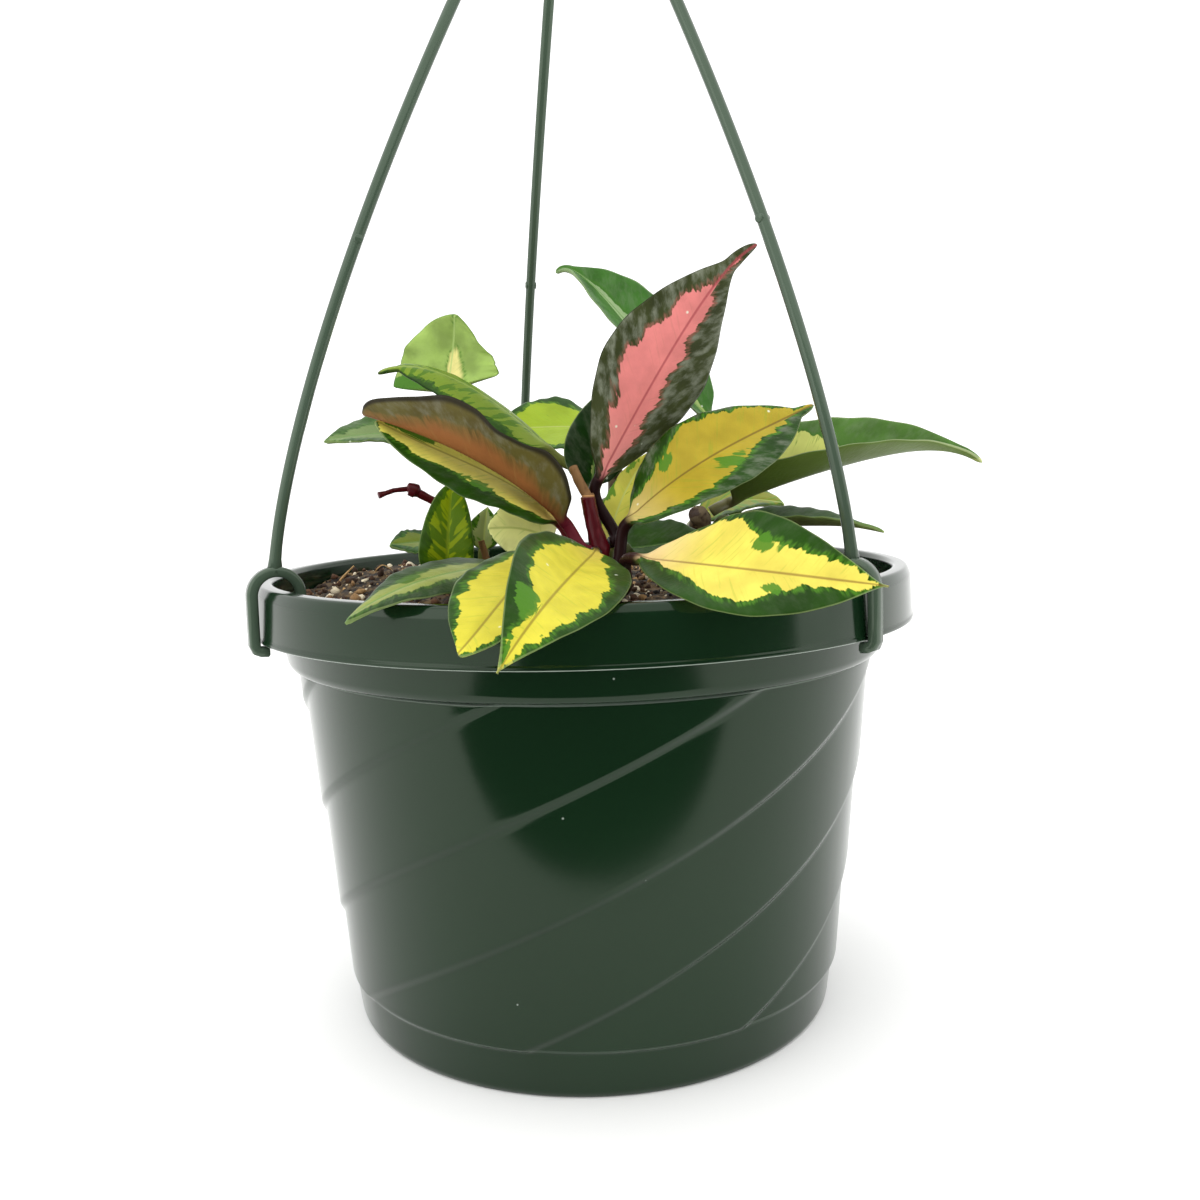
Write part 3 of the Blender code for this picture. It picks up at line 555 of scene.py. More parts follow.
def leaf_cuticle(name, look):
    """A grown hoya leaf: thick flesh under a smooth waxy cuticle, so a soft gloss over deep
    colour. Its pigment stops in ragged tufts along the side veins, 2 to 4 mm long, a thin
    midrib runs to the tip, silver streaks and flecks of about 0.4 mm lie under the wax, the
    streaks partly a painted sheen, and the rim is a fine line of its own colour, where it is
    pale partly painted light along the thin edge."""
    made, node, place = new_finish(name, IOR=1.45, Specular_IOR_Level=0.12)
    vein, zone, spot = (node("Attribute", attribute_name=key).outputs["Vector"]
                        for key in ("vein", "zone", "spot"))
    inside, along, under = node("SeparateXYZ", zone).outputs
    off_rib, off_edge, stalk = node("SeparateXYZ", spot).outputs
    patch = node("Attribute", attribute_name="patch").outputs["Fac"]
    middle, margin, between = (linear(code) for code in (look.middle, look.margin, look.between))
    lobes = node("TexNoise", vein, 0.45, 1.0)
    broad = node("TexNoise", vein, 1.0, 3.0, 0.6)
    fine = node("TexNoise", vein, 3.6, 2.0, 0.6)
    clouds = node("TexNoise", place, 160.0, 3.0)
    wander = -0.5 * look.ragged * sum(TUFTS)
    for pattern, reach in zip((lobes, broad, fine), TUFTS):
        wander = node("Math", pattern, reach * look.ragged, wander, operation="MULTIPLY_ADD")
    ragged = node("Math", inside, wander, operation="ADD")

    # The green: cloudy, lighter along its inner seam, and silvered, partly a painted sheen
    share = node("MapRange", clouds, 0.35, 0.7, **SMOOTH)
    green = node("Mix", share, margin, shade(margin, 0.68), **COLOURS)
    seam = node("MapRange", ragged, -1.5, -0.5, 0.0, 0.8, **SMOOTH)
    share = node("Math", seam, node("MapRange", fine, 0.35, 0.6), **TIMES)
    green = node("Mix", share, green, between, **COLOURS)
    # Painted sheen, partly silver flecking: grey streaks in the margin
    drawn = node("Mapping", vein, named={"Scale": (3.0, 0.9, 1.0)})
    streaks = node("MapRange", node("TexNoise", drawn, 1.0, 4.0, 0.6), 0.4, 0.72, 0.0,
                   look.silver, **SMOOTH)
    silver = node("Math", streaks, node("MapRange", ragged, -0.2, -1.4, **SMOOTH), **TIMES)
    green = node("Mix", silver, green, SILVER_SHEEN, **COLOURS)

    # The light middle: cloudy, flushed at its base, with rays along the veins and green islands
    share = node("MapRange", clouds, 0.3, 0.75, **SMOOTH)
    light = node("Mix", share, middle, shade(middle, 0.8), **COLOURS)
    share = node("MapRange", along, 0.32, 0.0, 0.0, 0.85, **SMOOTH)
    light = node("Mix", share, light, linear(look.flush), **COLOURS)
    drawn = node("Mapping", vein, named={"Scale": (1.5, 4.0, 1.0)})
    ray = node("MapRange", node("TexNoise", drawn, 1.0, 2.0), 0.56, 0.7, 0.0, 0.22, **SMOOTH)
    light = node("Mix", ray, light, shade(between, 1.6), **COLOURS)
    edge = 0.78 - 0.3 * look.islands
    lone = node("TexNoise", vein, 1.7, 2.0, 0.5)
    share = node("MapRange", lone, edge, edge + 0.05, 0.0, 0.85, **SMOOTH)
    light = node("Mix", share, light, between, **COLOURS)

    # Both together, then patches, the midrib, flecks, the underside, the rim and the stalk
    share = node("MapRange", ragged, -0.12 * look.soft, 0.2 * look.soft, **SMOOTH)
    tone = node("Mix", share, green, light, **COLOURS)
    torn = node("Math", wander, 1.5, patch, operation="MULTIPLY_ADD")
    cells = node("TexVoronoi", place, 480.0)
    chance = node("SeparateColor", cells.outputs["Color"])
    luck = node("MapRange", chance, 1.0 - 0.045 * look.flecks, 1.0 - 0.04 * look.flecks)
    dot = node("MapRange", cells.outputs["Distance"], 0.22, 0.08, 0.0, 0.75, **SMOOTH)
    for share, colour in (
            (node("MapRange", torn, 0.2, -0.2, 0.0, 0.95, **SMOOTH), between),
            (node("MapRange", off_rib, 0.45, 0.1, 0.0, 0.7, **SMOOTH), linear(look.rib)),
            (node("Math", dot, luck, **TIMES), FLECK),
            (node("Math", under, look.cover, **TIMES), linear(look.under)),
            # The rim line: its own colour, where pale partly painted light along the thin edge
            (node("MapRange", off_edge, look.edge, 0.36 * look.edge, 0.0, look.rimmed, **SMOOTH),
             linear(look.rim)),
            (stalk, linear(look.stalk))):
        tone = node("Mix", share, tone, colour, **COLOURS)
    rough = node("MapRange", clouds, 0.2, 0.8, look.rough - 0.06, look.rough + 0.1)
    skin = node("Math", fine, 0.8, node("TexNoise", place, 1100.0, 2.0), operation="MULTIPLY_ADD")
    return finished(made, tone, rough, skin, 0.25, 0.25)


# Pot

RIB_COUNT = 8
RIB_TURN = 1.8
RIB_START = -211.0
RIB_BOTTOM = 11.0
RIB_TOP = 85.0
RIM_TOP = 105.2
COLLAR_BOTTOM = 93.3
# The ribbed wall's radius at its foot, and how much it grows with each millimetre of height
WALL_FOOT = 59.45
WALL_LEAN = 0.115
EDGE_RADIUS = 0.55
# Where the columns of points stand across one rib, the share of it at which it steps down, and
# how far its lowest part lies inside the wall, as a share of its height
RIB_STEP = 0.9
RIB_SUNK = 0.03
RIB_SHARES = np.r_[np.linspace(0.0, RIB_STEP, 26), np.linspace(0.91, 0.99, 9)]
# Painted highlights along the pot's edges: height, half width and how much they show
EDGE_HIGHLIGHT_LINES = ((COLLAR_BOTTOM, 0.35, 0.6), (RIB_TOP, 0.35, 0.2), (RIB_BOTTOM, 0.4, 0.06))


def pot_line():
    """The pot's section, as (radius, z, rib share), from under the base up and back inside."""
    corners = [
        (0.5, 0.9, 0), (53.5, 0.9, 0), (54.6, 0.0, 0), (57.3, 0.0, 0), (58.05, 1.3, 0),
        (59.25, 10.4, 0), (WALL_FOOT, RIB_BOTTOM, 1), (67.96, RIB_TOP, 1), (68.0, 85.35, 0),
        (70.05, 85.6, 0), (70.8, 86.9, 0), (71.9, 93.4, 0), (74.3, 94.4, 0), (74.4, 102.4, 0),
        (75.9, 102.4, 0), (76.85, COLLAR_BOTTOM, 0), (77.98, COLLAR_BOTTOM, 0), (77.98, 94.1, 0),
        (77.75, 94.4, 0), (77.3, 103.2, 0), (76.5, RIM_TOP - 0.1, 0), (75.4, RIM_TOP, 0),
        (73.6, RIM_TOP, 0), (73.0, 104.4, 0), (72.7, 95.4, 0), (70.6, 94.8, 0), (68.7, 85.6, 0),
        (66.7, 84.6, 0), (57.0, 3.0, 0), (55.0, 1.8, 0), (0.5, 1.8, 0),
    ]
    line = rounded(corners, EDGE_RADIUS, 4)
    z = np.linspace(RIB_BOTTOM + 0.6, RIB_TOP - 0.6, 84)
    wall = np.stack([WALL_FOOT + WALL_LEAN * (z - RIB_BOTTOM), z, np.ones(len(z))], axis=-1)
    split = np.argmax((line[:, 1] > 60) & (line[:, 0] > 60))
    return np.concatenate([line[:split], wall, line[split:]])


def pot_rings(rib_height):
    """Each point of the section turned round the axis. On the ribbed wall the radius grows
    steadily from one spiral line to the next and drops in a short smooth step, and the columns
    of points lean with the spiral."""
    line = pot_line()
    share = np.tile(RIB_SHARES, RIB_COUNT)
    drop = np.clip((share - RIB_STEP) / (1 - RIB_STEP), 0, 1)
    rise = share * (1 - eased(drop))
    panel = np.repeat(np.arange(RIB_COUNT), len(RIB_SHARES))
    spiral = RIB_TURN * np.clip(line[:, 1], RIB_BOTTOM, RIB_TOP)
    inner = np.arange(len(line)) > np.argmax(line[:, 1])
    spiral[inner] = RIB_TURN * RIB_TOP
    angle = np.radians(RIB_START + spiral[:, None] + 360.0 / RIB_COUNT * (panel + share)[None])
    radius = line[:, :1] + line[:, 2:] * rib_height * (rise - RIB_SUNK)[None]
    z = np.broadcast_to(line[:, 1:2], radius.shape)
    return np.stack([radius * np.cos(angle), radius * np.sin(angle), z], axis=-1)


DRAIN_COUNT = 6
DRAIN_CIRCLE = 41.0
DRAIN_START = 15.0
DRAIN_RADIUS = 4.0
# From this many degrees on an edge of the pot is sharp
SHARP_EDGE = 40.0


def drill(obj, centres):
    """Cut an upright round hole through the pot's floor at each centre."""
    rings = [(z, DRAIN_RADIUS) for z in (-2.0, -1.0, 3.0, 4.0)]
    cutter = object_from("drills", [spindle(centre, UP, rings, 32) for centre in centres])
    cut = obj.modifiers.new("holes", "BOOLEAN")
    cut.operation, cut.solver, cut.object = "DIFFERENCE", "EXACT", cutter
    depsgraph = bpy.context.evaluated_depsgraph_get()
    whole = obj.data
    obj.data = bpy.data.meshes.new_from_object(obj.evaluated_get(depsgraph))
    obj.modifiers.remove(cut)
    obj.data.name = whole.name
    drills = cutter.data
    bpy.data.objects.remove(cutter)
    bpy.data.meshes.remove(drills)
    bpy.data.meshes.remove(whole)


# Hanger

ARM_ANGLES = (207.0, -43.0, 104.0)
CLIP_RADIUS = 74.2
CLIP_SPRING = 103.7
CLIP_ARCH = 5.15
CLIP_THICK = 2.2
CLIP_WIDE = 3.3
# The clip's middle line inside the pot and outside it, as (radius, z)
CLIP_INSIDE = ((69.05, 100.5), (69.05, 100.8))
CLIP_OUTSIDE = ((79.4, 98.0), (79.4, 93.2), (79.0, 92.2), (78.2, 91.9), (76.7, 91.8), (76.4, 91.8))
# Its bar's section, as shares of half its width and thickness, and how much of it an end keeps
CLIP_SECTION = ((0.72, 1), (-0.72, 1), (-1, 0.6), (-1, -0.6), (-0.72, -1), (0.72, -1), (1, -0.6),
                (1, 0.6))
CLIP_END = 0.8
HUB = np.array((1.7, -4.5, 283.0))
ARM_FOOT = 108.6
ARM_BEND = 1.36
# The share of its line that an arm takes to end inside the hub, how much thicker it is there,
# and its flare at the foot: how far it stands out, and the share of the line it fades over
ARM_END = 0.985
ARM_GROWTH = 0.12
ARM_FLARE = (0.5, 0.012)
# A mould pad and the hub: how far each ring lies from the middle, and its radius
PAD_HEIGHT = 179.0
PAD_RINGS = ((-1.45, 0.85), (-1.32, 1.0), (1.32, 1.0), (1.45, 0.85))
HUB_RINGS = ((-4.0, 5.4), (-3.8, 6.1), (-3.2, 6.5), (3.2, 6.5), (3.8, 6.1), (4.0, 5.4))
HOOK_BEND = 9.5
HOOK_RADIUS = 2.1
HOOK_NECK = 17.0
# The bend between neck and hook: how far it goes aside and up, and how far above the neck's top
# the hook's circle starts; then the circle's first and last angle in degrees
HOOK_ASIDE = (1.4, 3.6)
HOOK_LIFT = 4.4
HOOK_TURN = (-54.0, 216.0)


def polar(radius, degrees, z):
    """A point, or points, at a distance from the axis, a compass angle and a height."""
    turn = np.radians(degrees)
    return np.stack(np.broadcast_arrays(radius * np.cos(turn), radius * np.sin(turn), z), axis=-1)


def arm_line(degrees, shares):
    """An arm's middle line: it climbs evenly from its clip to the hub, and its way in towards
    the hub goes with the height's share to a power."""
    foot = polar(CLIP_RADIUS, degrees, ARM_FOOT)
    shares = np.asarray(shares, float)[:, None]
    line = foot + (HUB - foot) * shares ** ARM_BEND
    line[:, 2:] = foot[2] + (HUB[2] - foot[2]) * shares
    return line


def clip_rings(degrees):
    """A flat bar carried along the clip's section: up inside the pot, over the collar in a half
    circle, down outside and in under the collar's edge. Its corners are chamfered."""
    turn = np.linspace(math.pi, 0, 25)
    arch = np.stack([CLIP_RADIUS + CLIP_ARCH * np.cos(turn),
                     CLIP_SPRING + CLIP_ARCH * np.sin(turn)], axis=-1)
    line = np.concatenate([CLIP_INSIDE, arch, CLIP_OUTSIDE])
    way = unit(np.gradient(line, axis=0))
    square = np.ones(len(line))
    square[[0, -1]] = CLIP_END
    across = polar(1.0, degrees + 90.0, 0.0)
    rings = []
    for wide, thick in CLIP_SECTION:
        radius = line[:, 0] - way[:, 1] * thick * CLIP_THICK / 2 * square
        z = line[:, 1] + way[:, 0] * thick * CLIP_THICK / 2 * square
        rings.append(polar(radius, degrees, z) + across * wide * CLIP_WIDE / 2 * square[:, None])
    return np.stack(rings, axis=1)


def hook_line():
    """Straight up from the hub, a small bend aside, then round most of a circle."""
    x, y, z = HUB
    top = z + HOOK_NECK
    centre = top + HOOK_BEND + HOOK_LIFT
    turn = np.radians(np.linspace(*HOOK_TURN, 31))
    bend = np.stack([x + HOOK_BEND * np.cos(turn), np.full(len(turn), y),
                     centre + HOOK_BEND * np.sin(turn)], axis=-1)
    aside, up = HOOK_ASIDE
    neck = [(x, y, z + 1), (x, y, top - 6), (x, y, top), (x + aside, y, top + up), bend[0]]
    return np.concatenate([through(neck, 16)[:-1], bend])


def hanger_shells(thickness):
    """Arms, clips, mould pads, hub and hook, each a closed shell that runs into the next."""
    shares = np.linspace(0.0, ARM_END, 60)
    radii = thickness / 2 * (1 + ARM_GROWTH * shares)
    radii = radii + ARM_FLARE[0] * np.exp(-(shares / ARM_FLARE[1]) ** 2)
    pad = (PAD_HEIGHT - ARM_FOOT) / (HUB[2] - ARM_FOOT)
    shells = []
    for degrees in ARM_ANGLES:
        across = polar(1.0, degrees + 90.0, 0.0)
        shells.append(shell(tube(arm_line(degrees, shares), radii, 8, 14)))
        shells.append(shell(clip_rings(degrees)))
        shells.append(spindle(arm_line(degrees, [pad])[0], across, PAD_RINGS, 20))
    shells.append(spindle(HUB, UP, HUB_RINGS, 40))
    line = hook_line()
    radii = np.full(len(line), HOOK_RADIUS)
    radii[-1] = HOOK_RADIUS * 0.75
    shells.append(shell(tube(line, radii, 16)))
    return shells


# Soil

SOIL_LEVEL = 99.0
SOIL_RADIUS = 72.3
# What is strewn over the soil: how far out it lies, how far its corners are pushed about, how
# narrow it may be, how much it tilts and how high its middle lies, as shares of its size
STREWN_RADIUS = 70.5
STREWN_PUSH = 0.3
STREWN_LEAST = 0.5
STREWN_TILT = 0.3
STREWN_LIFT = 0.12
# The soil's side inside the pot, as (radius, z)
SOIL_SIDE = ((54.4, 2.4), (56.3, 3.5), (66.0, 85.2), (68.0, 86.2), (69.9, 95.4), (72.0, 96.0))
# The heap near the wall: its distance from the axis, its angle, its height and half its width
HEAP = (56.0, 150.0, 5.0, 17.0)
# The lumps in the surface: their share of the height, their size and the seed of their places;
# and how far the surface lies below the soil's level
LUMPS = ((0.7, 7.0, 3), (0.45, 2.6, 4), (0.3, 1.2, 5))
SOIL_SUNK = 0.2


def soil_height(x, y, lumps):
    """The soil's level, one heap near the wall, and lumps of three sizes."""
    distance, angle, high, wide = HEAP
    middle = polar(distance, angle, 0.0)
    away = np.hypot(x - middle[0], y - middle[1]) / wide
    level = SOIL_LEVEL + high * np.exp(-away ** 2)
    rough = sum(share * lattice_noise(x, y, size, seed) for share, size, seed in LUMPS)
    return level + lumps * rough - SOIL_SUNK


def soil_rings(lumps):
    """Rings up the side from the floor, then over the surface from the wall to the middle."""
    angle = np.linspace(0, 360, 300, endpoint=False)
    rings = [polar(radius, angle, z) for radius, z in SOIL_SIDE]
    for radius in np.linspace(SOIL_RADIUS, 1.0, 78):
        x, y, _ = polar(radius, angle, 0.0).T
        rings.append(np.stack([x, y, soil_height(x, y, lumps)], axis=-1))
    return np.array(rings)


def lump_shape():
    """The twelve corners and twenty faces of an icosahedron."""
    g = (1 + 5 ** 0.5) / 2
    corners = np.array([
        (-1, g, 0), (1, g, 0), (-1, -g, 0), (1, -g, 0), (0, -1, g), (0, 1, g), (0, -1, -g),
        (0, 1, -g), (g, 0, -1), (g, 0, 1), (-g, 0, -1), (-g, 0, 1)]) / 1.9
    faces = np.array([
        (0, 11, 5), (0, 5, 1), (0, 1, 7), (0, 7, 10), (0, 10, 11), (1, 5, 9), (5, 11, 4),
        (11, 10, 2), (10, 7, 6), (7, 1, 8), (3, 9, 4), (3, 4, 2), (3, 2, 6), (3, 6, 8), (3, 8, 9),
        (4, 9, 5), (2, 4, 11), (6, 2, 10), (8, 6, 7), (9, 8, 1)])
    return corners, faces


def turned(a, b, angle):
    """Two coordinates turned about their origin by an angle in radians."""
    return a * np.cos(angle) - b * np.sin(angle), a * np.sin(angle) + b * np.cos(angle)


def scattered(count, low, high, flat, seed, lumps):
    """Lumps strewn over the soil: each an icosahedron with its corners pushed about, stretched
    and turned at random, and sunk by about a third. Returns points, faces and each point's
    tone."""
    dice = np.random.default_rng(seed)
    corners, faces = lump_shape()
    per_lump = len(corners)
    radius = STREWN_RADIUS * np.sqrt(dice.uniform(0, 1, count))
    angle = dice.uniform(0, 360, count)
    size = low + (high - low) * dice.uniform(0, 1, count) ** 3
    x, y, _ = polar(radius, angle, 0.0).T
    push = dice.uniform(-STREWN_PUSH, STREWN_PUSH, (count, per_lump, 1))
    shape = corners[None] * (1 + push)
    stretch = [np.ones(count), *(dice.uniform(least, 1, count) for least in (STREWN_LEAST, flat))]
    px, py, pz = (shape[..., i] * stretch[i][:, None] for i in range(3))
    turn, tilt = dice.uniform(0, 2 * math.pi, (2, count, 1))
    px, py = turned(px, py, turn)
    px, pz = turned(px, pz, tilt * STREWN_TILT)
    points = np.stack([px, py, pz], axis=-1) * size[:, None, None] / 2
    points += np.stack([x, y, soil_height(x, y, lumps) + size * STREWN_LIFT], axis=-1)[:, None]
    index = faces[None] + per_lump * np.arange(count)[:, None, None]
    tone = np.repeat(dice.uniform(0, 1, count), per_lump)
    return points.reshape(-1, 3), index.reshape(-1, 3), tone


NO_QUADS = np.zeros((0, 4), int)
FIBRES = 26
FIBRE_RADIUS = 0.16
FIBRE_RISE = 1.6
FIBRE_SPREAD = 66.0
# What is drawn for a fibre: the angle it lies at, the way it runs, its bend and its length
FIBRE_DRAWS = ((0, 360), (0, 360), (-25, 25), (4, 10))
# The twig that stands out of the soil: three points along it, and its radius at either end
TWIG = ((-65.4, 20.0, 98.4), (-63.0, 20.0, 101.5), (-59.6, 20.0, 104.8))
TWIG_RADII = (0.42, 0.2)


def fibre_shells(lumps):
    """Coir fibres: thin tubes along arcs that start in the soil, rise by a sine and end a
    little above it, and one thicker twig."""
    dice = np.random.default_rng(21)
    radii = FIBRE_SPREAD * np.sqrt(dice.uniform(0, 1, FIBRES))
    angles, ways, bends, lengths = (dice.uniform(low, high, FIBRES) for low, high in FIBRE_DRAWS)
    shells = [shell(tube(through(TWIG, 9), np.linspace(*TWIG_RADII, 9), 7))]
    share = np.linspace(0, 1, 8)
    for radius, angle, way, bend, length in zip(radii, angles, ways, bends, lengths):
        line = polar(radius, angle, 0.0) + polar(length * share, way + bend * share, 0.0)
        line[:, 2] = (soil_height(line[:, 0], line[:, 1], lumps)
                      + FIBRE_RISE * np.sin(math.pi * share * 0.9))
        shells.append(shell(tube(line, FIBRE_RADIUS, 5)))
    return shells


# Stems: centre points with the stem's radius at each

STEMS = {
    "stem_front": (
        (2.2, -21.0, 75.0, 1.9), (2.6, -21.4, 98.0, 1.9), (3.6, -22.0, 107.0, 2.3),
        (3.9, -22.0, 110.5, 2.5), (2.9, -22.0, 115.0, 1.8), (1.4, -21.0, 122.6, 1.65),
        (1.35, -20.98, 122.7, 1.15), (-0.4, -20.2, 126.2, 1.15), (-1.6, -19.0, 129.2, 1.0)),
    "stem_low": (
        (-8.0, -26.6, 75.0, 1.9), (-8.0, -26.6, 97.0, 1.9), (-8.1, -26.9, 103.0, 2.0),
        (-8.2, -27.0, 107.0, 1.8)),
    "stem_right": (
        (22.0, 9.0, 75.0, 1.9), (24.0, 8.5, 98.0, 1.9), (27.0, 5.5, 109.0, 2.2),
        (29.3, 2.5, 115.2, 2.7), (28.2, 0.2, 117.0, 2.3)),
    "stem_left": (
        (-27.0, 4.0, 75.0, 1.9), (-28.0, 4.0, 100.0, 1.9), (-29.5, 4.5, 112.0, 2.0),
        (-31.0, 5.0, 124.0, 1.9), (-32.0, 5.5, 131.5, 1.6)),
    "stem_back": (
        (9.0, 14.0, 75.0, 1.9), (9.0, 14.0, 100.0, 1.9), (8.2, 13.4, 115.0, 2.0),
        (9.0, 13.5, 128.0, 1.8), (9.6, 14.0, 136.5, 1.5)),
    "dry_stalk": ((-21.3, -4.5, 88.0, 0.9), (-22.3, -3.8, 104.0, 0.9), (-24.3, -2.8, 112.0, 0.8)),
    "flower_stalk": (
        (-33.1, 4.1, 120.6, 1.0), (-36.2, 3.0, 121.8, 1.0), (-39.4, 2.4, 123.6, 1.1),
        (-40.2, 2.2, 124.2, 1.8), (-41.8, 1.9, 124.8, 1.6), (-42.2, 1.8, 124.8, 0.65),
        (-45.2, 1.0, 124.6, 0.6), (-47.0, 0.0, 124.0, 0.6), (-48.6, -1.0, 123.5, 0.85)),
}


# Above this height the front stem is a dry stub
CUT_HEIGHT = 122.3
# The uneven skin: its mean radius as a share of the stem's, and the height of its lobes and rings
SKIN_SHARE = 0.985
SKIN_LOBES = 0.03
SKIN_RINGS = 0.02
STEM_SIDES = 20


def stem_rings(points):
    """A tube along straight stretches between the points, with a slightly uneven skin: three
    lobes that wind round it by a sine, and rings by another."""
    points = np.array(points, float)
    steps = distances(points)
    at = np.unique(np.r_[np.linspace(0, steps[-1], 60), steps])
    path = np.stack([np.interp(at, steps, points[:, i]) for i in range(4)], axis=-1)
    rings = tube(path[:, :3], path[:, 3], STEM_SIDES)
    centre = path[:, None, :3]
    turn = np.linspace(0, 2 * math.pi, STEM_SIDES, endpoint=False)
    at = at[:, None]
    uneven = 1 + SKIN_LOBES * np.sin(3 * turn + at * 0.7) + SKIN_RINGS * np.sin(at * 2.3)
    return centre + (rings - centre) * uneven[..., None] * SKIN_SHARE


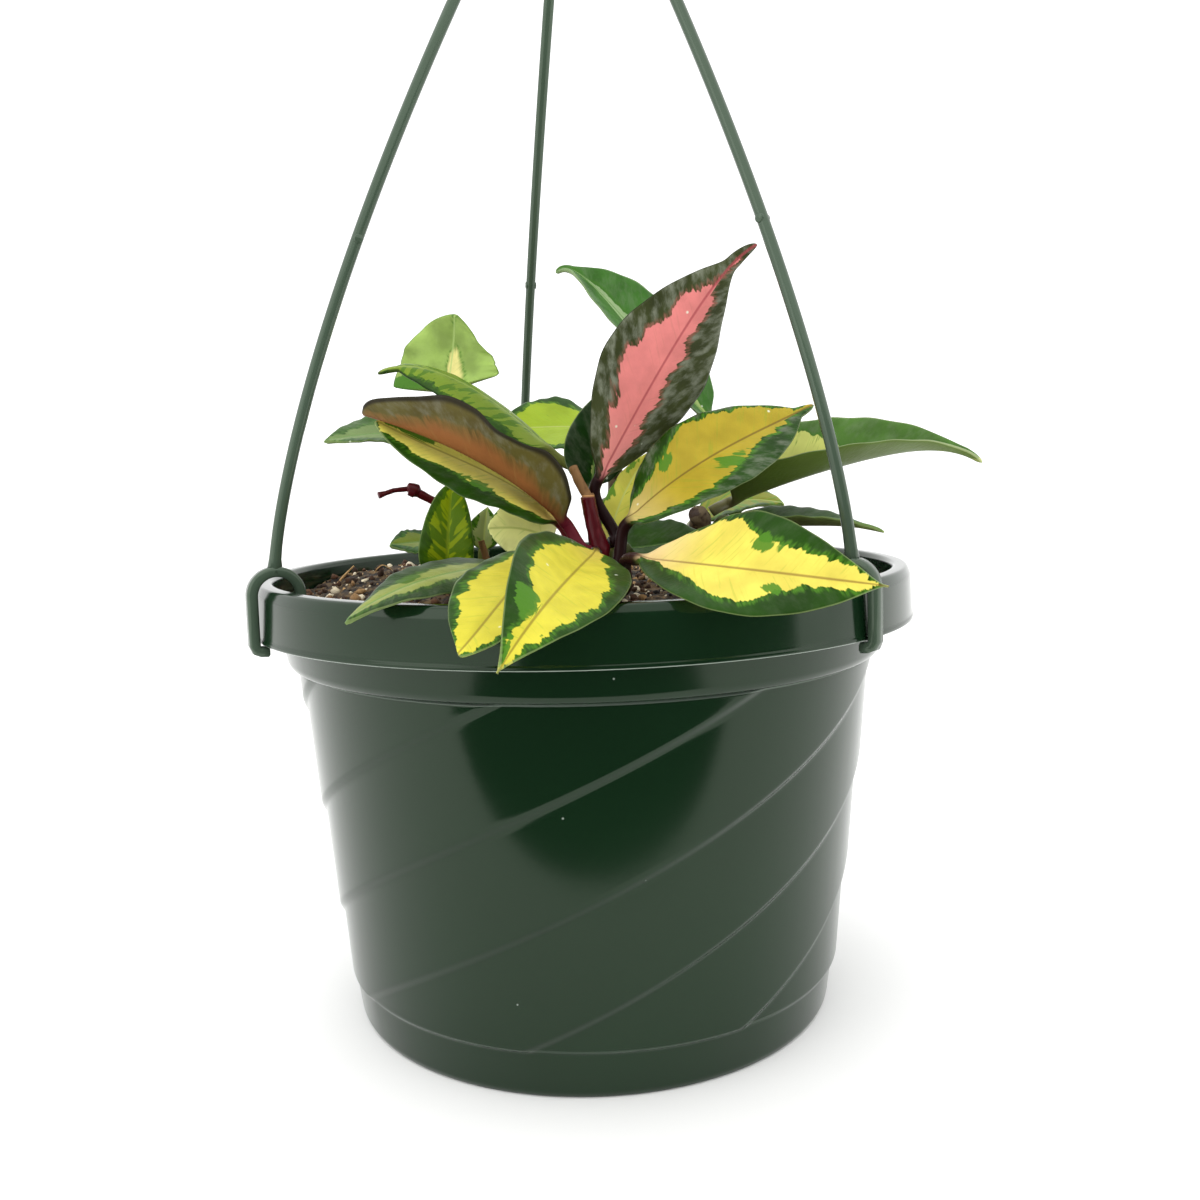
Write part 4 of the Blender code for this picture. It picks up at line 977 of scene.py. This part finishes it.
# A leaf: where its stalk leaves the stem (a stem, a height on it and a compass angle), the
# blade's base, middle and tip, the way its upper face looks, half its width, the fold of its
# two halves and its twist in degrees, how far the tip droops, the height of its waves, how
# drawn out its tip is, how far along the blade it is broadest, the share of its length that its
# narrow drip tip takes, and the power of t that the droop goes by
WIDEST = 0.44
Leaf = namedtuple("Leaf", "stem height angle base mid tip face half fold twist droop wave tail"
                  " broad drip bend", defaults=(WIDEST, 0.0, 4))
LEAVES = {
    "leaf_pink": Leaf(
        "stem_front", 111.4, 22, (3.5, -18.0, 125.2), (20.6, -17.3, 154.0), (40.5, -19.1, 176.9),
        (0.57, -0.82, -0.05), 14.3, -6, 18, 7.4, -0.6, 1.21, 0.47, 0.12, 6),
    "leaf_bronze": Leaf(
        "stem_front", 111.0, 222.7, (-3.8, -24.0, 117.1), (-21.0, -29.7, 131.3),
        (-47.1, -25.5, 142.3), (0.41, 0.34, 0.85), 10.4, 39, 18, 1.8, -1.7, 0.48, 0.52),
    "leaf_yellow_left": Leaf(
        "stem_front", 105.5, 168, (-4.6, -20.0, 116.4), (-21.7, -21.0, 128.3),
        (-44.7, -24.0, 140.3), (0.14, -0.55, 0.82), 13.3, 8, 22, -5.7, 0.4, 0.8),
    "leaf_olive": Leaf(
        "stem_front", 107.2, -20, (10.0, -23.0, 116.2), (29.0, -23.2, 130.3), (55.4, -6.0, 141.9),
        (-0.1, -0.7, 0.71), 12.3, 8, -39, -1.5, -0.1, 0.79, 0.47, 0.07, 6),
    "leaf_gold_front": Leaf(
        "stem_front", 104.5, -90, (2.8, -32.2, 110.8), (-4.0, -77.2, 108.8), (-14.3, -99.3, 97.4),
        (0.44, -0.41, 0.8), 11.2, 19, 16, 4.0, 0.4, 1.3),
    "leaf_gold_right": Leaf(
        "stem_front", 101.5, -35, (10.4, -50.0, 110.8), (31.1, -77.7, 110.4), (53.2, -82.6, 107.6),
        (-0.06, -0.88, 0.47), 10.9, 18, -32, 0.0, 0.4, 1.45),
    "leaf_pale_strip": Leaf(
        "stem_front", 104.0, 80, (5.9, -14.5, 108.9), (9.9, -10.5, 121.5), (17.6, -8.0, 132.6),
        (-0.55, -0.81, 0.2), 4.4, 12, 0, 0.0, 0.3, 0.95),
    "leaf_dark_low": Leaf(
        "stem_front", 104.5, 12, (10.3, -17.0, 110.1), (18.0, -16.0, 110.6), (28.7, -18.0, 112.5),
        (0.0, -0.48, 0.88), 10.4, 5, 0, 0.0, 0.4, 0.95),
    "leaf_gold_left": Leaf(
        "stem_low", 105.0, -120, (-7.8, -33.3, 110.9), (-13.5, -72.6, 107.1), (-21.6, -87.0, 98.3),
        (0.03, -0.39, 0.92), 10.1, 6, -15, -1.4, 0.4, 0.75),
    "leaf_dark_left": Leaf(
        "stem_low", 101.5, 180, (-16.9, -28.0, 108.0), (-27.9, -59.7, 109.5), (-43.6, -72.7, 102.5),
        (0.06, -0.38, 0.92), 7.5, -1, -37, 5.2, 0.3, 0.85),
    "leaf_pale_mid": Leaf(
        "stem_low", 106.0, 110, (-7.0, -14.0, 112.0), (-13.4, -14.0, 115.0), (-21.7, -14.5, 115.3),
        (0.05, -0.86, 0.5), 8.0, 4, 0, 0.0, 0.3, 0.65),
    "leaf_long_right": Leaf(
        "stem_right", 115.5, 30, (37.1, 6.0, 119.2), (63.4, -3.3, 128.3), (97.2, -1.2, 127.4),
        (0.02, -0.37, 0.93), 14.2, 42, -8, 7.5, 0.1, 1.03, 0.33, 0.06, 8),
    "leaf_thin_right": Leaf(
        "stem_right", 110.9, 0, (35.0, -0.5, 115.1), (52.0, -9.6, 114.6), (69.7, -15.8, 112.2),
        (0.0, -0.09, 1.0), 8.6, 19, 14, 3.8, 0.1, 1.05, 0.43, 0.11, 6),
    "leaf_lime_right": Leaf(
        "stem_right", 111.0, 90, (30.6, 19.5, 114.3), (40.4, 18.0, 118.5), (51.8, 14.0, 117.7),
        (0.0, -0.3, 0.95), 10.8, 6, 5, 0.2, 0.4, 0.95),
    "leaf_crinkled": Leaf(
        "stem_left", 130.0, 90, (-33.6, 22.0, 148.7), (-31.9, 24.4, 158.7), (-30.5, 20.1, 168.0),
        (-0.41, -0.91, 0.0), 16.0, 8, -8, -0.4, 0.9, 0.62, 0.14),
    "leaf_grey_left": Leaf(
        "stem_left", 129.0, 170, (-38.4, 6.0, 137.6), (-48.4, 3.0, 138.0), (-60.8, -2.0, 136.6),
        (0.05, -0.42, 0.91), 8.9, 12, -6, 0.0, 0.4, 0.95),
    "leaf_speckled": Leaf(
        "stem_left", 101.0, -110, (-32.4, -4.0, 105.2), (-32.1, -6.9, 111.1), (-30.6, -3.7, 125.8),
        (0.03, -0.99, 0.1), 6.7, 12, -1, 0.9, 0.3, 0.5),
    "leaf_small_left": Leaf(
        "stem_left", 107.0, 180, (-35.5, 4.0, 111.4), (-41.5, 2.0, 111.4), (-46.8, 0.0, 111.1),
        (-0.01, -0.42, 0.91), 6.5, 7, 0, 0.0, 0.2, 0.95),
    "leaf_curl_low": Leaf(
        "stem_left", 104.0, -20, (-24.2, 2.0, 109.4), (-23.7, 2.0, 114.0), (-22.9, 3.0, 119.8),
        (-0.1, -0.95, 0.24), 4.4, 14, 0, 0.0, 0.2, 0.95),
    "leaf_lime": Leaf(
        "stem_back", 128.0, 200, (-7.1, 9.0, 132.5), (-27.6, 4.6, 149.4), (-47.3, -1.3, 152.3),
        (0.19, -0.38, 0.91), 10.5, -14, 8, 3.5, 0.2, 0.55, 0.44, 0.12, 6),
    "leaf_lime_back": Leaf(
        "stem_back", 133.0, 140, (4.2, 28.0, 138.5), (-7.9, 28.0, 139.0), (-21.8, 26.0, 138.9),
        (0.0, -0.51, 0.86), 14.3, 7, 9, -1.0, 0.4, 0.95),
    "leaf_green_back": Leaf(
        "stem_back", 134.0, 10, (34.0, 13.0, 137.7), (12.5, 13.9, 164.2), (-4.6, 17.5, 177.4),
        (0.55, -0.61, 0.57), 13.8, 22, 9, 7.2, 0.3, 1.03, 0.42, 0.11, 8),
    "leaf_dark_mid": Leaf(
        "stem_back", 120.0, -110, (2.8, -6.0, 124.0), (4.2, -5.0, 134.4), (8.0, -3.0, 147.5),
        (0.0, -0.97, 0.24), 7.6, 8, 0, -0.6, 0.3, 0.8),
}
# How wide a drip tip is, as a share of the blade, and the least half width of any blade
DRIP_SHARE = 0.13
LEAST_HALF = 0.16
# How soft the fold at the midrib is, as a share of the half width
FOLD_SOFT = 0.18
# Waves and fine ripples along a margin, and how far a wave's phase shifts on either side
WAVES = 2.2
RIPPLES = 7.3
WAVE_SHIFT = 1.3
# The gap between a stalk and its stem, and how far its curve reaches out at both ends
GAP = 0.45
STALK_REACH = 0.38
STALK_RADIUS = 1.35
# The groove along the midrib: its depth and half its width, how much of it shows below, and how
# fast it fades at the tip
GROOVE = (0.22, 0.7)
GROOVE_BELOW = 0.8
GROOVE_FADE = 6.0
# How much thinner a blade is at its margin, the power of s that rounds the margin off, and the
# least half thickness and what each mm of half width adds to it near base and tip
EDGE_THINNER = 0.35
EDGE_POWER = 7
SLIM = (0.12, 0.5)
# How much of the rows' spacing is even, and how much bunches towards both ends
SPACING = (0.55, 0.45)
# The share of t over which the stalk's circle changes to the blade's section
STALK_BLEND = 0.09
BLADE_ROWS = 70
STALK_ROWS = 16
HALF_COLUMNS = 27
# The maps that the material reads: how a vein slants, its map's scales across, along and from
# leaf to leaf, how far apart the two halves' maps lie, how much longer a blade's curve is than
# the straight line, and the values of t between which the stalk's colour fades
VEIN_SLANT = 0.8
VEIN_SCALES = (0.1, 0.34, 0.37)
HALVES_APART = 9.0
CURVE_LONGER = 1.05
STALK_FADE = (0.015, 0.065)
CENTRE_BLEND = 0.12
FAR_AWAY = 9.0


def outline(leaf, t):
    """Half the blade's width as a share of its widest. The body is a power of t up to the
    widest place times a power of what is left beyond it, and ends where a drip tip starts,
    whose width goes with the root of what is left of it. The two add up as squares."""
    rise = leaf.tail * leaf.broad / (1 - leaf.broad)
    u = np.minimum(t / (1 - leaf.drip), 1.0)
    body = (u / leaf.broad) ** rise * ((1 - u) / (1 - leaf.broad)) ** leaf.tail
    if not leaf.drip:
        return body
    return np.hypot(body, DRIP_SHARE * t * np.sqrt(np.minimum((1 - t) / leaf.drip, 1.0)))


def spine(leaf, t):
    """The midrib: a quadratic curve through base, middle and tip, less a droop that grows with
    a power of t. Gives its points, the way it runs, and the blade's side and face
    directions, turned by the twist."""
    base, middle, tip = (np.array(p, float) for p in (leaf.base, leaf.mid, leaf.tip))
    tip[2] += leaf.droop
    pull = 2 * middle - (base + tip) / 2
    t = np.asarray(t, float)[:, None]
    droop = np.array((0, 0, leaf.droop))
    centre = (1 - t) ** 2 * base + 2 * t * (1 - t) * pull + t * t * tip - t ** leaf.bend * droop
    slope = leaf.bend * t ** (leaf.bend - 1) * droop
    along = unit(2 * (1 - t) * (pull - base) + 2 * t * (tip - pull) - slope)
    side = unit(np.cross(along, unit(np.array(leaf.face, float))))
    face = np.cross(side, along)
    turn = np.radians(leaf.twist) * (t - 0.5)
    return (centre, along, np.cos(turn) * side + np.sin(turn) * face,
            np.cos(turn) * face - np.sin(turn) * side)


def sheet_points(leaf, t, s, ripple):
    """The blade's middle surface: out along the side direction by s times the half width, up by
    the fold, which is a softened absolute value of s, and by waves that grow with the cube of s
    and finer ripples that grow with its fourth power."""
    centre, along, side, face = spine(leaf, t)
    width = leaf.half * np.maximum(outline(leaf, t), LEAST_HALF / leaf.half)[:, None]
    fold = math.radians(leaf.fold)
    soft = FOLD_SOFT
    lift = (np.sqrt(s * s + soft * soft) - soft) / (math.sqrt(1 + soft * soft) - soft)
    phase = leaf.angle + np.where(s < 0, -WAVE_SHIFT, WAVE_SHIFT)
    body = np.clip(4 * t * (1 - t), 0, 1)[:, None]
    turn = 2 * math.pi * t[:, None]
    wave = leaf.wave * np.sin(WAVES * turn + phase) * np.abs(s) ** 3 * body
    wave = wave + ripple * np.sin(RIPPLES * turn + 2.1 * phase) * s ** 4 * body
    across = width * math.cos(fold) * s
    up = width * math.sin(fold) * lift + wave
    points = centre[:, None] + across[..., None] * side[:, None] + up[..., None] * face[:, None]
    return points, along, width


def stalk_line(leaf, count):
    """A cubic curve that leaves the stem squarely and runs into the midrib. Gives its points,
    the way it runs and a direction square to that."""
    path = np.array(STEMS[leaf.stem], float)
    low, high = (np.array([np.interp(z, path[:, 2], path[:, i]) for i in range(4)])
                 for z in (leaf.height, leaf.height + 1))
    out = squared(polar(1.0, leaf.angle, 0.0), unit((high - low)[:3]))
    start = low[:3] + (low[3] + GAP) * out
    end, along, side, _ = (part[0] for part in spine(leaf, np.zeros(1)))
    reach = np.linalg.norm(end - start) * STALK_REACH
    first, second = start + out * reach, end - along * reach
    u = np.linspace(0, 1, count)[:, None]
    v = 1 - u
    line = v ** 3 * start + 3 * u * v ** 2 * first + 3 * u * u * v * second + u ** 3 * end
    ways = unit(3 * v ** 2 * (first - start) + 6 * u * v * (second - first)
                + 3 * u * u * (end - second))
    return line, ways, carried(side, ways[::-1])[::-1]


def stalk_rings(centre, side, face):
    """A stalk's circles, whose points go round as a blade's do: over the top, then back below."""
    over = np.linspace(math.pi, 0, HALF_COLUMNS)
    turns = np.r_[over, -over[::-1][1:-1]][None, :, None]
    ring = np.cos(turns) * side[:, None] + np.sin(turns) * face[:, None]
    return centre[:, None] + STALK_RADIUS * ring


def leaf_rings(leaf, thickness, ripple):
    """Rings along the stalk and then the blade. A blade's ring goes over the upper face and
    back under the lower; each face lies off the middle surface by half the thickness, less
    towards the margin, where the two meet in a rounded edge. Rows and columns stand closer
    towards their ends, and the first rings of the blade change smoothly from the stalk's
    circle. Returns them with t, s and the half width at each."""
    u = np.linspace(0, 1, BLADE_ROWS)
    t = SPACING[0] * u + SPACING[1] * (1 - np.cos(math.pi * u)) / 2
    s = np.linspace(-1, 1, HALF_COLUMNS)
    s = 0.5 * np.sin(s * math.pi / 2) + 0.5 * s
    middle, along, width = sheet_points(leaf, t, s, ripple)
    normal = unit(np.cross(np.gradient(middle, axis=1), along[:, None]))
    thick = thickness / 2 * (1 - EDGE_THINNER * s * s) * np.sqrt(1 - np.abs(s) ** EDGE_POWER)
    thick = np.minimum(thick, SLIM[0] + SLIM[1] * width)
    depth, half = GROOVE
    fade = np.clip(GROOVE_FADE * (1 - t), 0, 1)[:, None]
    groove = depth * np.exp(-(s * width / half) ** 2) * fade
    upper = middle + normal * (thick - groove)[..., None]
    lower = middle - normal * (thick + GROOVE_BELOW * groove)[..., None]
    blade = np.concatenate([upper, lower[:, ::-1][:, 1:-1]], axis=1)
    centre, _, side, face = spine(leaf, t)
    share = eased(np.clip(t / STALK_BLEND, 0, 1))[:, None, None]
    blade = stalk_rings(centre, side, face) * (1 - share) + blade * share
    line, ways, sides = stalk_line(leaf, STALK_ROWS)
    stalk = stalk_rings(line, sides, np.cross(sides, ways))[:-1]
    return np.concatenate([stalk, blade]), t, s, width


def leaf_maps(leaf, look, t, s, width):
    """What the leaf's material reads at each point of the blade, and on the stalk. vein: a
    place on a map whose lines follow the side veins. zone: how far inside the margin's band it
    is in mm, t, and 1 below. spot: how far it is from the midrib and from the edge in mm, and 1
    on the stalk. patch: how far it is outside the nearest patch in mm, from the patch's oval."""
    across = np.r_[s, s[::-1][1:-1]][None]
    below = np.r_[np.zeros(len(s)), np.ones(len(s) - 2)]
    length = np.linalg.norm(np.array(leaf.tip) - np.array(leaf.base)) * CURVE_LONGER
    t = t[:, None]
    x = across * width
    off_rib = np.abs(x)
    left, right = (np.interp(t, np.linspace(0, 1, len(shares)), shares)
                   for shares in (look.left, look.right))
    band = left + (right - left) * np.clip(across / CENTRE_BLEND + 0.5, 0, 1)
    inside = (1 - np.abs(across) - band) * width
    wide, long, apart = VEIN_SCALES
    fade = 1 - np.clip((t - STALK_FADE[0]) / (STALK_FADE[1] - STALK_FADE[0]), 0, 1)
    patch = np.full(x.shape, FAR_AWAY)
    for t_middle, s_middle, half_long, half_wide in look.patches:
        reach = np.hypot((t - t_middle) / half_long, (across - s_middle) / half_wide)
        patch = np.minimum(patch, (reach - 1) * half_wide * leaf.half)
    vein = (off_rib * wide + HALVES_APART * (x > 0), (t * length - VEIN_SLANT * off_rib) * long,
            leaf.angle * apart)
    spot = (off_rib, width * (1 - np.abs(across)), fade)
    vein, zone, spot = (np.stack(np.broadcast_arrays(*parts), axis=-1)
                        for parts in (vein, (inside, t, below), spot))
    return {"vein": (vein, (0, 0, 0)), "zone": (zone, (-FAR_AWAY, 0, 0)),
            "spot": (spot, (FAR_AWAY, FAR_AWAY, 1)), "patch": (patch, FAR_AWAY)}


def with_stalk(values, on_stalk):
    """The blade's values with the stalk's rows before them and the two end points after."""
    stalk = np.broadcast_to(np.asarray(on_stalk, float), (STALK_ROWS - 1, *values.shape[1:]))
    flat = np.concatenate([stalk, values]).reshape(-1, *values.shape[2:])
    return np.concatenate([flat, stalk[0, :1], values[-1, :1]])


# Stage

FLOOR_HALF = 6.0
# The dark cloth: its middle and half width across, where it starts and bends up, and its top
CLOTH = (0.0, 0.4, -0.15, -0.45, 0.35)
# How far the cloth's raised part reaches to the left and right
RAISED = (-0.16, 1.2)
CLOTH_LIFT = 0.0005
WORLD_LIGHT = 1.45
# A light: its name, its place, its width and height in metres and its watts
LIGHTS = (
    ("overhead_soft", (-0.3, -0.3, 1.5), (1.2, 1.2), 4.0),
    ("left_window", (-1.4, -0.9, 0.8), (1.0, 1.2), 4.0),
    ("right_fill", (1.5, -0.6, 0.6), (1.0, 1.2), 1.0),
)
LIGHT_TARGET = (0.0, 0.0, 0.1)
# The camera: its place in metres, its three turns in degrees, and its lens and sensor in mm
CAMERA_PLACE = (0.0, -0.28509, 0.13192)
CAMERA_TURNS = (0.791, 7.093, -1.595)
CAMERA_LENS = 35.17
CAMERA_SENSOR = 36.0
CAMERA_NEAR = 0.01


def stage_sheet(name, points, faces, finish):
    """A flat or bent sheet that belongs to the studio, from points in metres."""
    mesh = bpy.data.meshes.new(name)
    mesh.from_pydata(points, [], faces)
    mesh.materials.append(finish)
    sheet = add_object(name, mesh)
    return sheet


def build_floor(settings):
    """A wide flat sheet of matt paper: rolled pulp, with faint cloudy fibres."""
    made, node, place = new_finish("matt_white_paper")
    fibres = node("TexNoise", place, 60.0)
    tone = node("Mix", node("MapRange", fibres, 0.2, 0.9), settings.floor,
                shade(settings.floor, 0.985), **COLOURS)
    rough = node("MapRange", fibres, 0.0, 1.0, 0.85, 0.95)
    finished(made, tone, rough, fibres, 0.02, 0.05)
    corners = ((-1, -1), (1, -1), (1, 1), (-1, 1))
    stage_sheet("floor", [(x * FLOOR_HALF, y * FLOOR_HALF, 0) for x, y in corners],
                [(0, 1, 2, 3)], made)


def build_dark_cloth(settings):
    """A dark cloth in front of the pot that only the gloss sees: an oval on the floor below
    the camera, which rises in a straight sheet behind it. It gives the plastic its depth."""
    made, node, place = new_finish("black_felt")
    nap = node("TexNoise", place, 400.0)
    tone = node("Mix", nap, settings.cloth, shade(settings.cloth, 1.5), **COLOURS)
    finished(made, tone, node("MapRange", nap, 0.0, 1.0, 0.9, 1.0), nap, 0.2, 1.0)
    middle, half_wide, near, far, top = CLOTH
    left, right = RAISED
    points = [(middle + half_wide * math.cos(a), far - (far - near) * abs(math.sin(a)), CLOTH_LIFT)
              for a in np.linspace(math.pi, 2 * math.pi, 40)]
    faces = [tuple(range(len(points))), tuple(range(len(points), len(points) + 4))]
    points += [(left, far, 0.0), (right, far, 0.0), (right, far, top), (left, far, top)]
    cloth = stage_sheet("dark_cloth", points, faces, made)
    cloth.visible_camera = cloth.visible_diffuse = cloth.visible_shadow = False


def stand(obj, place, right, up, back):
    """Put an object at a place, with its own three axes along these directions."""
    turn = Matrix(np.stack([right, up, back], axis=-1).tolist()).to_4x4()
    obj.matrix_world = Matrix.Translation(place) @ turn


def build_lights(settings):
    """Soft boxes from the table, and white light from all round."""
    for name, place, size, watts in LIGHTS:
        data = bpy.data.lights.new(name, "AREA")
        data.shape = "RECTANGLE"
        data.size, data.size_y = size
        data.energy = watts * settings.light
        back = unit(np.array(place) - np.array(LIGHT_TARGET))
        right = unit(np.cross(UP, back))
        stand(add_object(name, data), place, right, np.cross(back, right), back)
    world = bpy.data.worlds.new("white_room")
    world.use_nodes = True
    background = world.node_tree.nodes["Background"].inputs
    background["Color"].default_value = (1, 1, 1, 1)
    background["Strength"].default_value = WORLD_LIGHT * settings.light
    bpy.context.scene.world = world
    bpy.context.scene.view_settings.view_transform = "Standard"


def build_camera():
    """The photograph's view: from in front of the rim, a little down, and slightly rolled."""
    yaw, down, roll = (math.radians(a) for a in CAMERA_TURNS)
    ahead = np.array((math.sin(yaw) * math.cos(down), math.cos(yaw) * math.cos(down),
                      -math.sin(down)))
    level = np.array((math.cos(yaw), -math.sin(yaw), 0.0))
    upright = np.cross(level, ahead)
    right = math.cos(roll) * level + math.sin(roll) * upright
    up = math.cos(roll) * upright - math.sin(roll) * level
    data = bpy.data.cameras.new("front_view")
    data.lens = CAMERA_LENS
    data.sensor_width = CAMERA_SENSOR
    data.clip_start = CAMERA_NEAR
    camera = add_object("front_view", data)
    stand(camera, CAMERA_PLACE, right, up, -ahead)
    bpy.context.scene.camera = camera


# Operators

class HoyaStage(bpy.types.Operator):
    """Lay the pale floor and a dark cloth, set soft light all round and place the camera"""

    bl_idname = "hoya.stage"
    bl_label = "Stage"

    def execute(self, context):
        settings = context.scene.hoya_stage
        build_floor(settings)
        build_dark_cloth(settings)
        build_lights(settings)
        build_camera()
        return {"FINISHED"}


class HoyaPot(bpy.types.Operator):
    """Build the ribbed pot with its rolled collar"""

    bl_idname = "hoya.pot"
    bl_label = "Pot"

    def execute(self, context):
        settings = context.scene.hoya_pot
        finish = moulded_plastic("moulded_polypropylene_pot", settings.colour, settings.dust_and_highlight,
                                 EDGE_HIGHLIGHT_LINES)
        made = piece("pot_moulding", [shell(pot_rings(settings.rib_height / MM))], finish,
                     ("pot",))
        drill(made, [polar(DRAIN_CIRCLE, DRAIN_START + turn, 0.0)
                     for turn in range(0, 360, 360 // DRAIN_COUNT)])
        made.data.set_sharp_from_angle(angle=math.radians(SHARP_EDGE))
        return {"FINISHED"}


class HoyaHanger(bpy.types.Operator):
    """Build the hanger with its arms, clips, hub and hook"""

    bl_idname = "hoya.hanger"
    bl_label = "Hanger"

    def execute(self, context):
        settings = context.scene.hoya_hanger
        finish = moulded_plastic("moulded_polypropylene_hanger", settings.colour,
                                 context.scene.hoya_pot.dust_and_highlight)
        piece("hanger_moulding", hanger_shells(settings.thickness / MM), finish,
              ("hanger",))
        return {"FINISHED"}


class HoyaSoil(bpy.types.Operator):
    """Build the soil's lumpy surface and strew crumbs, bark and perlite over it"""

    bl_idname = "hoya.soil"
    bl_label = "Soil"

    def execute(self, context):
        settings = context.scene.hoya_soil
        lumps = settings.roughness / MM
        finish = peat_mix("moist_sieved_peat", settings.dark, settings.light)
        piece("soil_bed", [shell(soil_rings(lumps))], finish, ("soil",))
        strewn = (
            ("soil_crumbs", 1400, 0.9, 3.2, 0.5, 11, settings.dark, settings.bark),
            ("bark_chips", 420, 0.8, 3.8, 0.3, 13, settings.bark, settings.light),
            ("perlite_grains", 420, 0.8, 3.4, 0.6, 12, shade(settings.perlite, 0.7),
             settings.perlite),
        )
        for name, count, low, high, flat, seed, first, second in strewn:
            points, faces, tones = scattered(count, low, high, flat, seed, lumps)
            grains = crumb_skin("matt_" + name, first, second)
            made = piece(name, [(points, NO_QUADS, faces)], grains)
            attribute(made, "tone", tones)
        strands = crumb_skin("dry_coir_strands", settings.bark, settings.light)
        made = piece("coir_fibres", fibre_shells(lumps), strands)
        attribute(made, "tone", np.ones(len(made.data.vertices)))
        return {"FINISHED"}


class HoyaStems(bpy.types.Operator):
    """Build the cuttings' stems, the flower stalk and the dry stalk"""

    bl_idname = "hoya.stems"
    bl_label = "Stems"

    def execute(self, context):
        settings = context.scene.hoya_plant
        cut = stem_skin("burgundy_stem_cut", settings.stem, settings.wood, 0.0, CUT_HEIGHT)
        young = stem_skin("burgundy_stem", settings.stem, settings.wood, 0.1)
        corky = stem_skin("corky_stem", settings.node, settings.cork, 0.75)
        straw = stem_skin("dry_stalk_wood", settings.wood, settings.wood, 1.0)
        skins = {"stem_front": cut, "flower_stalk": young, "dry_stalk": straw}
        for name, points in STEMS.items():
            skin = skins.get(name, corky)
            piece(name + "_skin", [shell(stem_rings(points))], skin, (name,))
        return {"FINISHED"}


class HoyaLeaves(bpy.types.Operator):
    """Build every leaf with its stalk"""

    bl_idname = "hoya.leaves"
    bl_label = "Leaves"

    def execute(self, context):
        settings = context.scene.hoya_plant
        for name, leaf in LEAVES.items():
            look = LOOKS[name]
            rings, t, s, width = leaf_rings(leaf, settings.thickness / MM, settings.ripple / MM)
            finish = leaf_cuticle(name.replace("leaf_", "waxy_cuticle_"), look)
            made = piece(name + "_blade", [shell(rings)], finish, (name,))
            for key, (values, on_stalk) in leaf_maps(leaf, look, t, s, width).items():
                attribute(made, key, with_stalk(values, on_stalk))
        return {"FINISHED"}


class HoyaPanel(bpy.types.Panel):
    """Buttons for each piece in the 3D view's sidebar"""

    bl_idname = "HOYA_PT_build"
    bl_label = "Potted Hoya"
    bl_space_type = "VIEW_3D"
    bl_region_type = "UI"
    bl_category = "Hoya"

    def draw(self, context):
        for operator in OPERATORS:
            self.layout.operator(operator.bl_idname)
        for name in SETTINGS:
            box = self.layout.box()
            settings = getattr(context.scene, name)
            for key in settings.__annotations__:
                box.prop(settings, key)


OPERATORS = (HoyaStage, HoyaPot, HoyaHanger, HoyaSoil, HoyaStems, HoyaLeaves)
SETTINGS = {
    "hoya_pot": PotSettings,
    "hoya_hanger": HangerSettings,
    "hoya_soil": SoilSettings,
    "hoya_plant": PlantSettings,
    "hoya_stage": StageSettings,
}


def register():
    for group in (*SETTINGS.values(), *OPERATORS, HoyaPanel):
        bpy.utils.register_class(group)
    for name, group in SETTINGS.items():
        setattr(bpy.types.Scene, name, bpy.props.PointerProperty(type=group))


def unregister():
    for name in SETTINGS:
        delattr(bpy.types.Scene, name)
    for group in (HoyaPanel, *reversed(OPERATORS), *reversed(SETTINGS.values())):
        bpy.utils.unregister_class(group)


def main():
    register()
    bpy.ops.hoya.stage()
    bpy.ops.hoya.pot()
    bpy.ops.hoya.hanger()
    bpy.ops.hoya.soil()
    bpy.ops.hoya.stems()
    bpy.ops.hoya.leaves()
    bpy.context.view_layer.update()


if __name__ == "__main__":
    main()
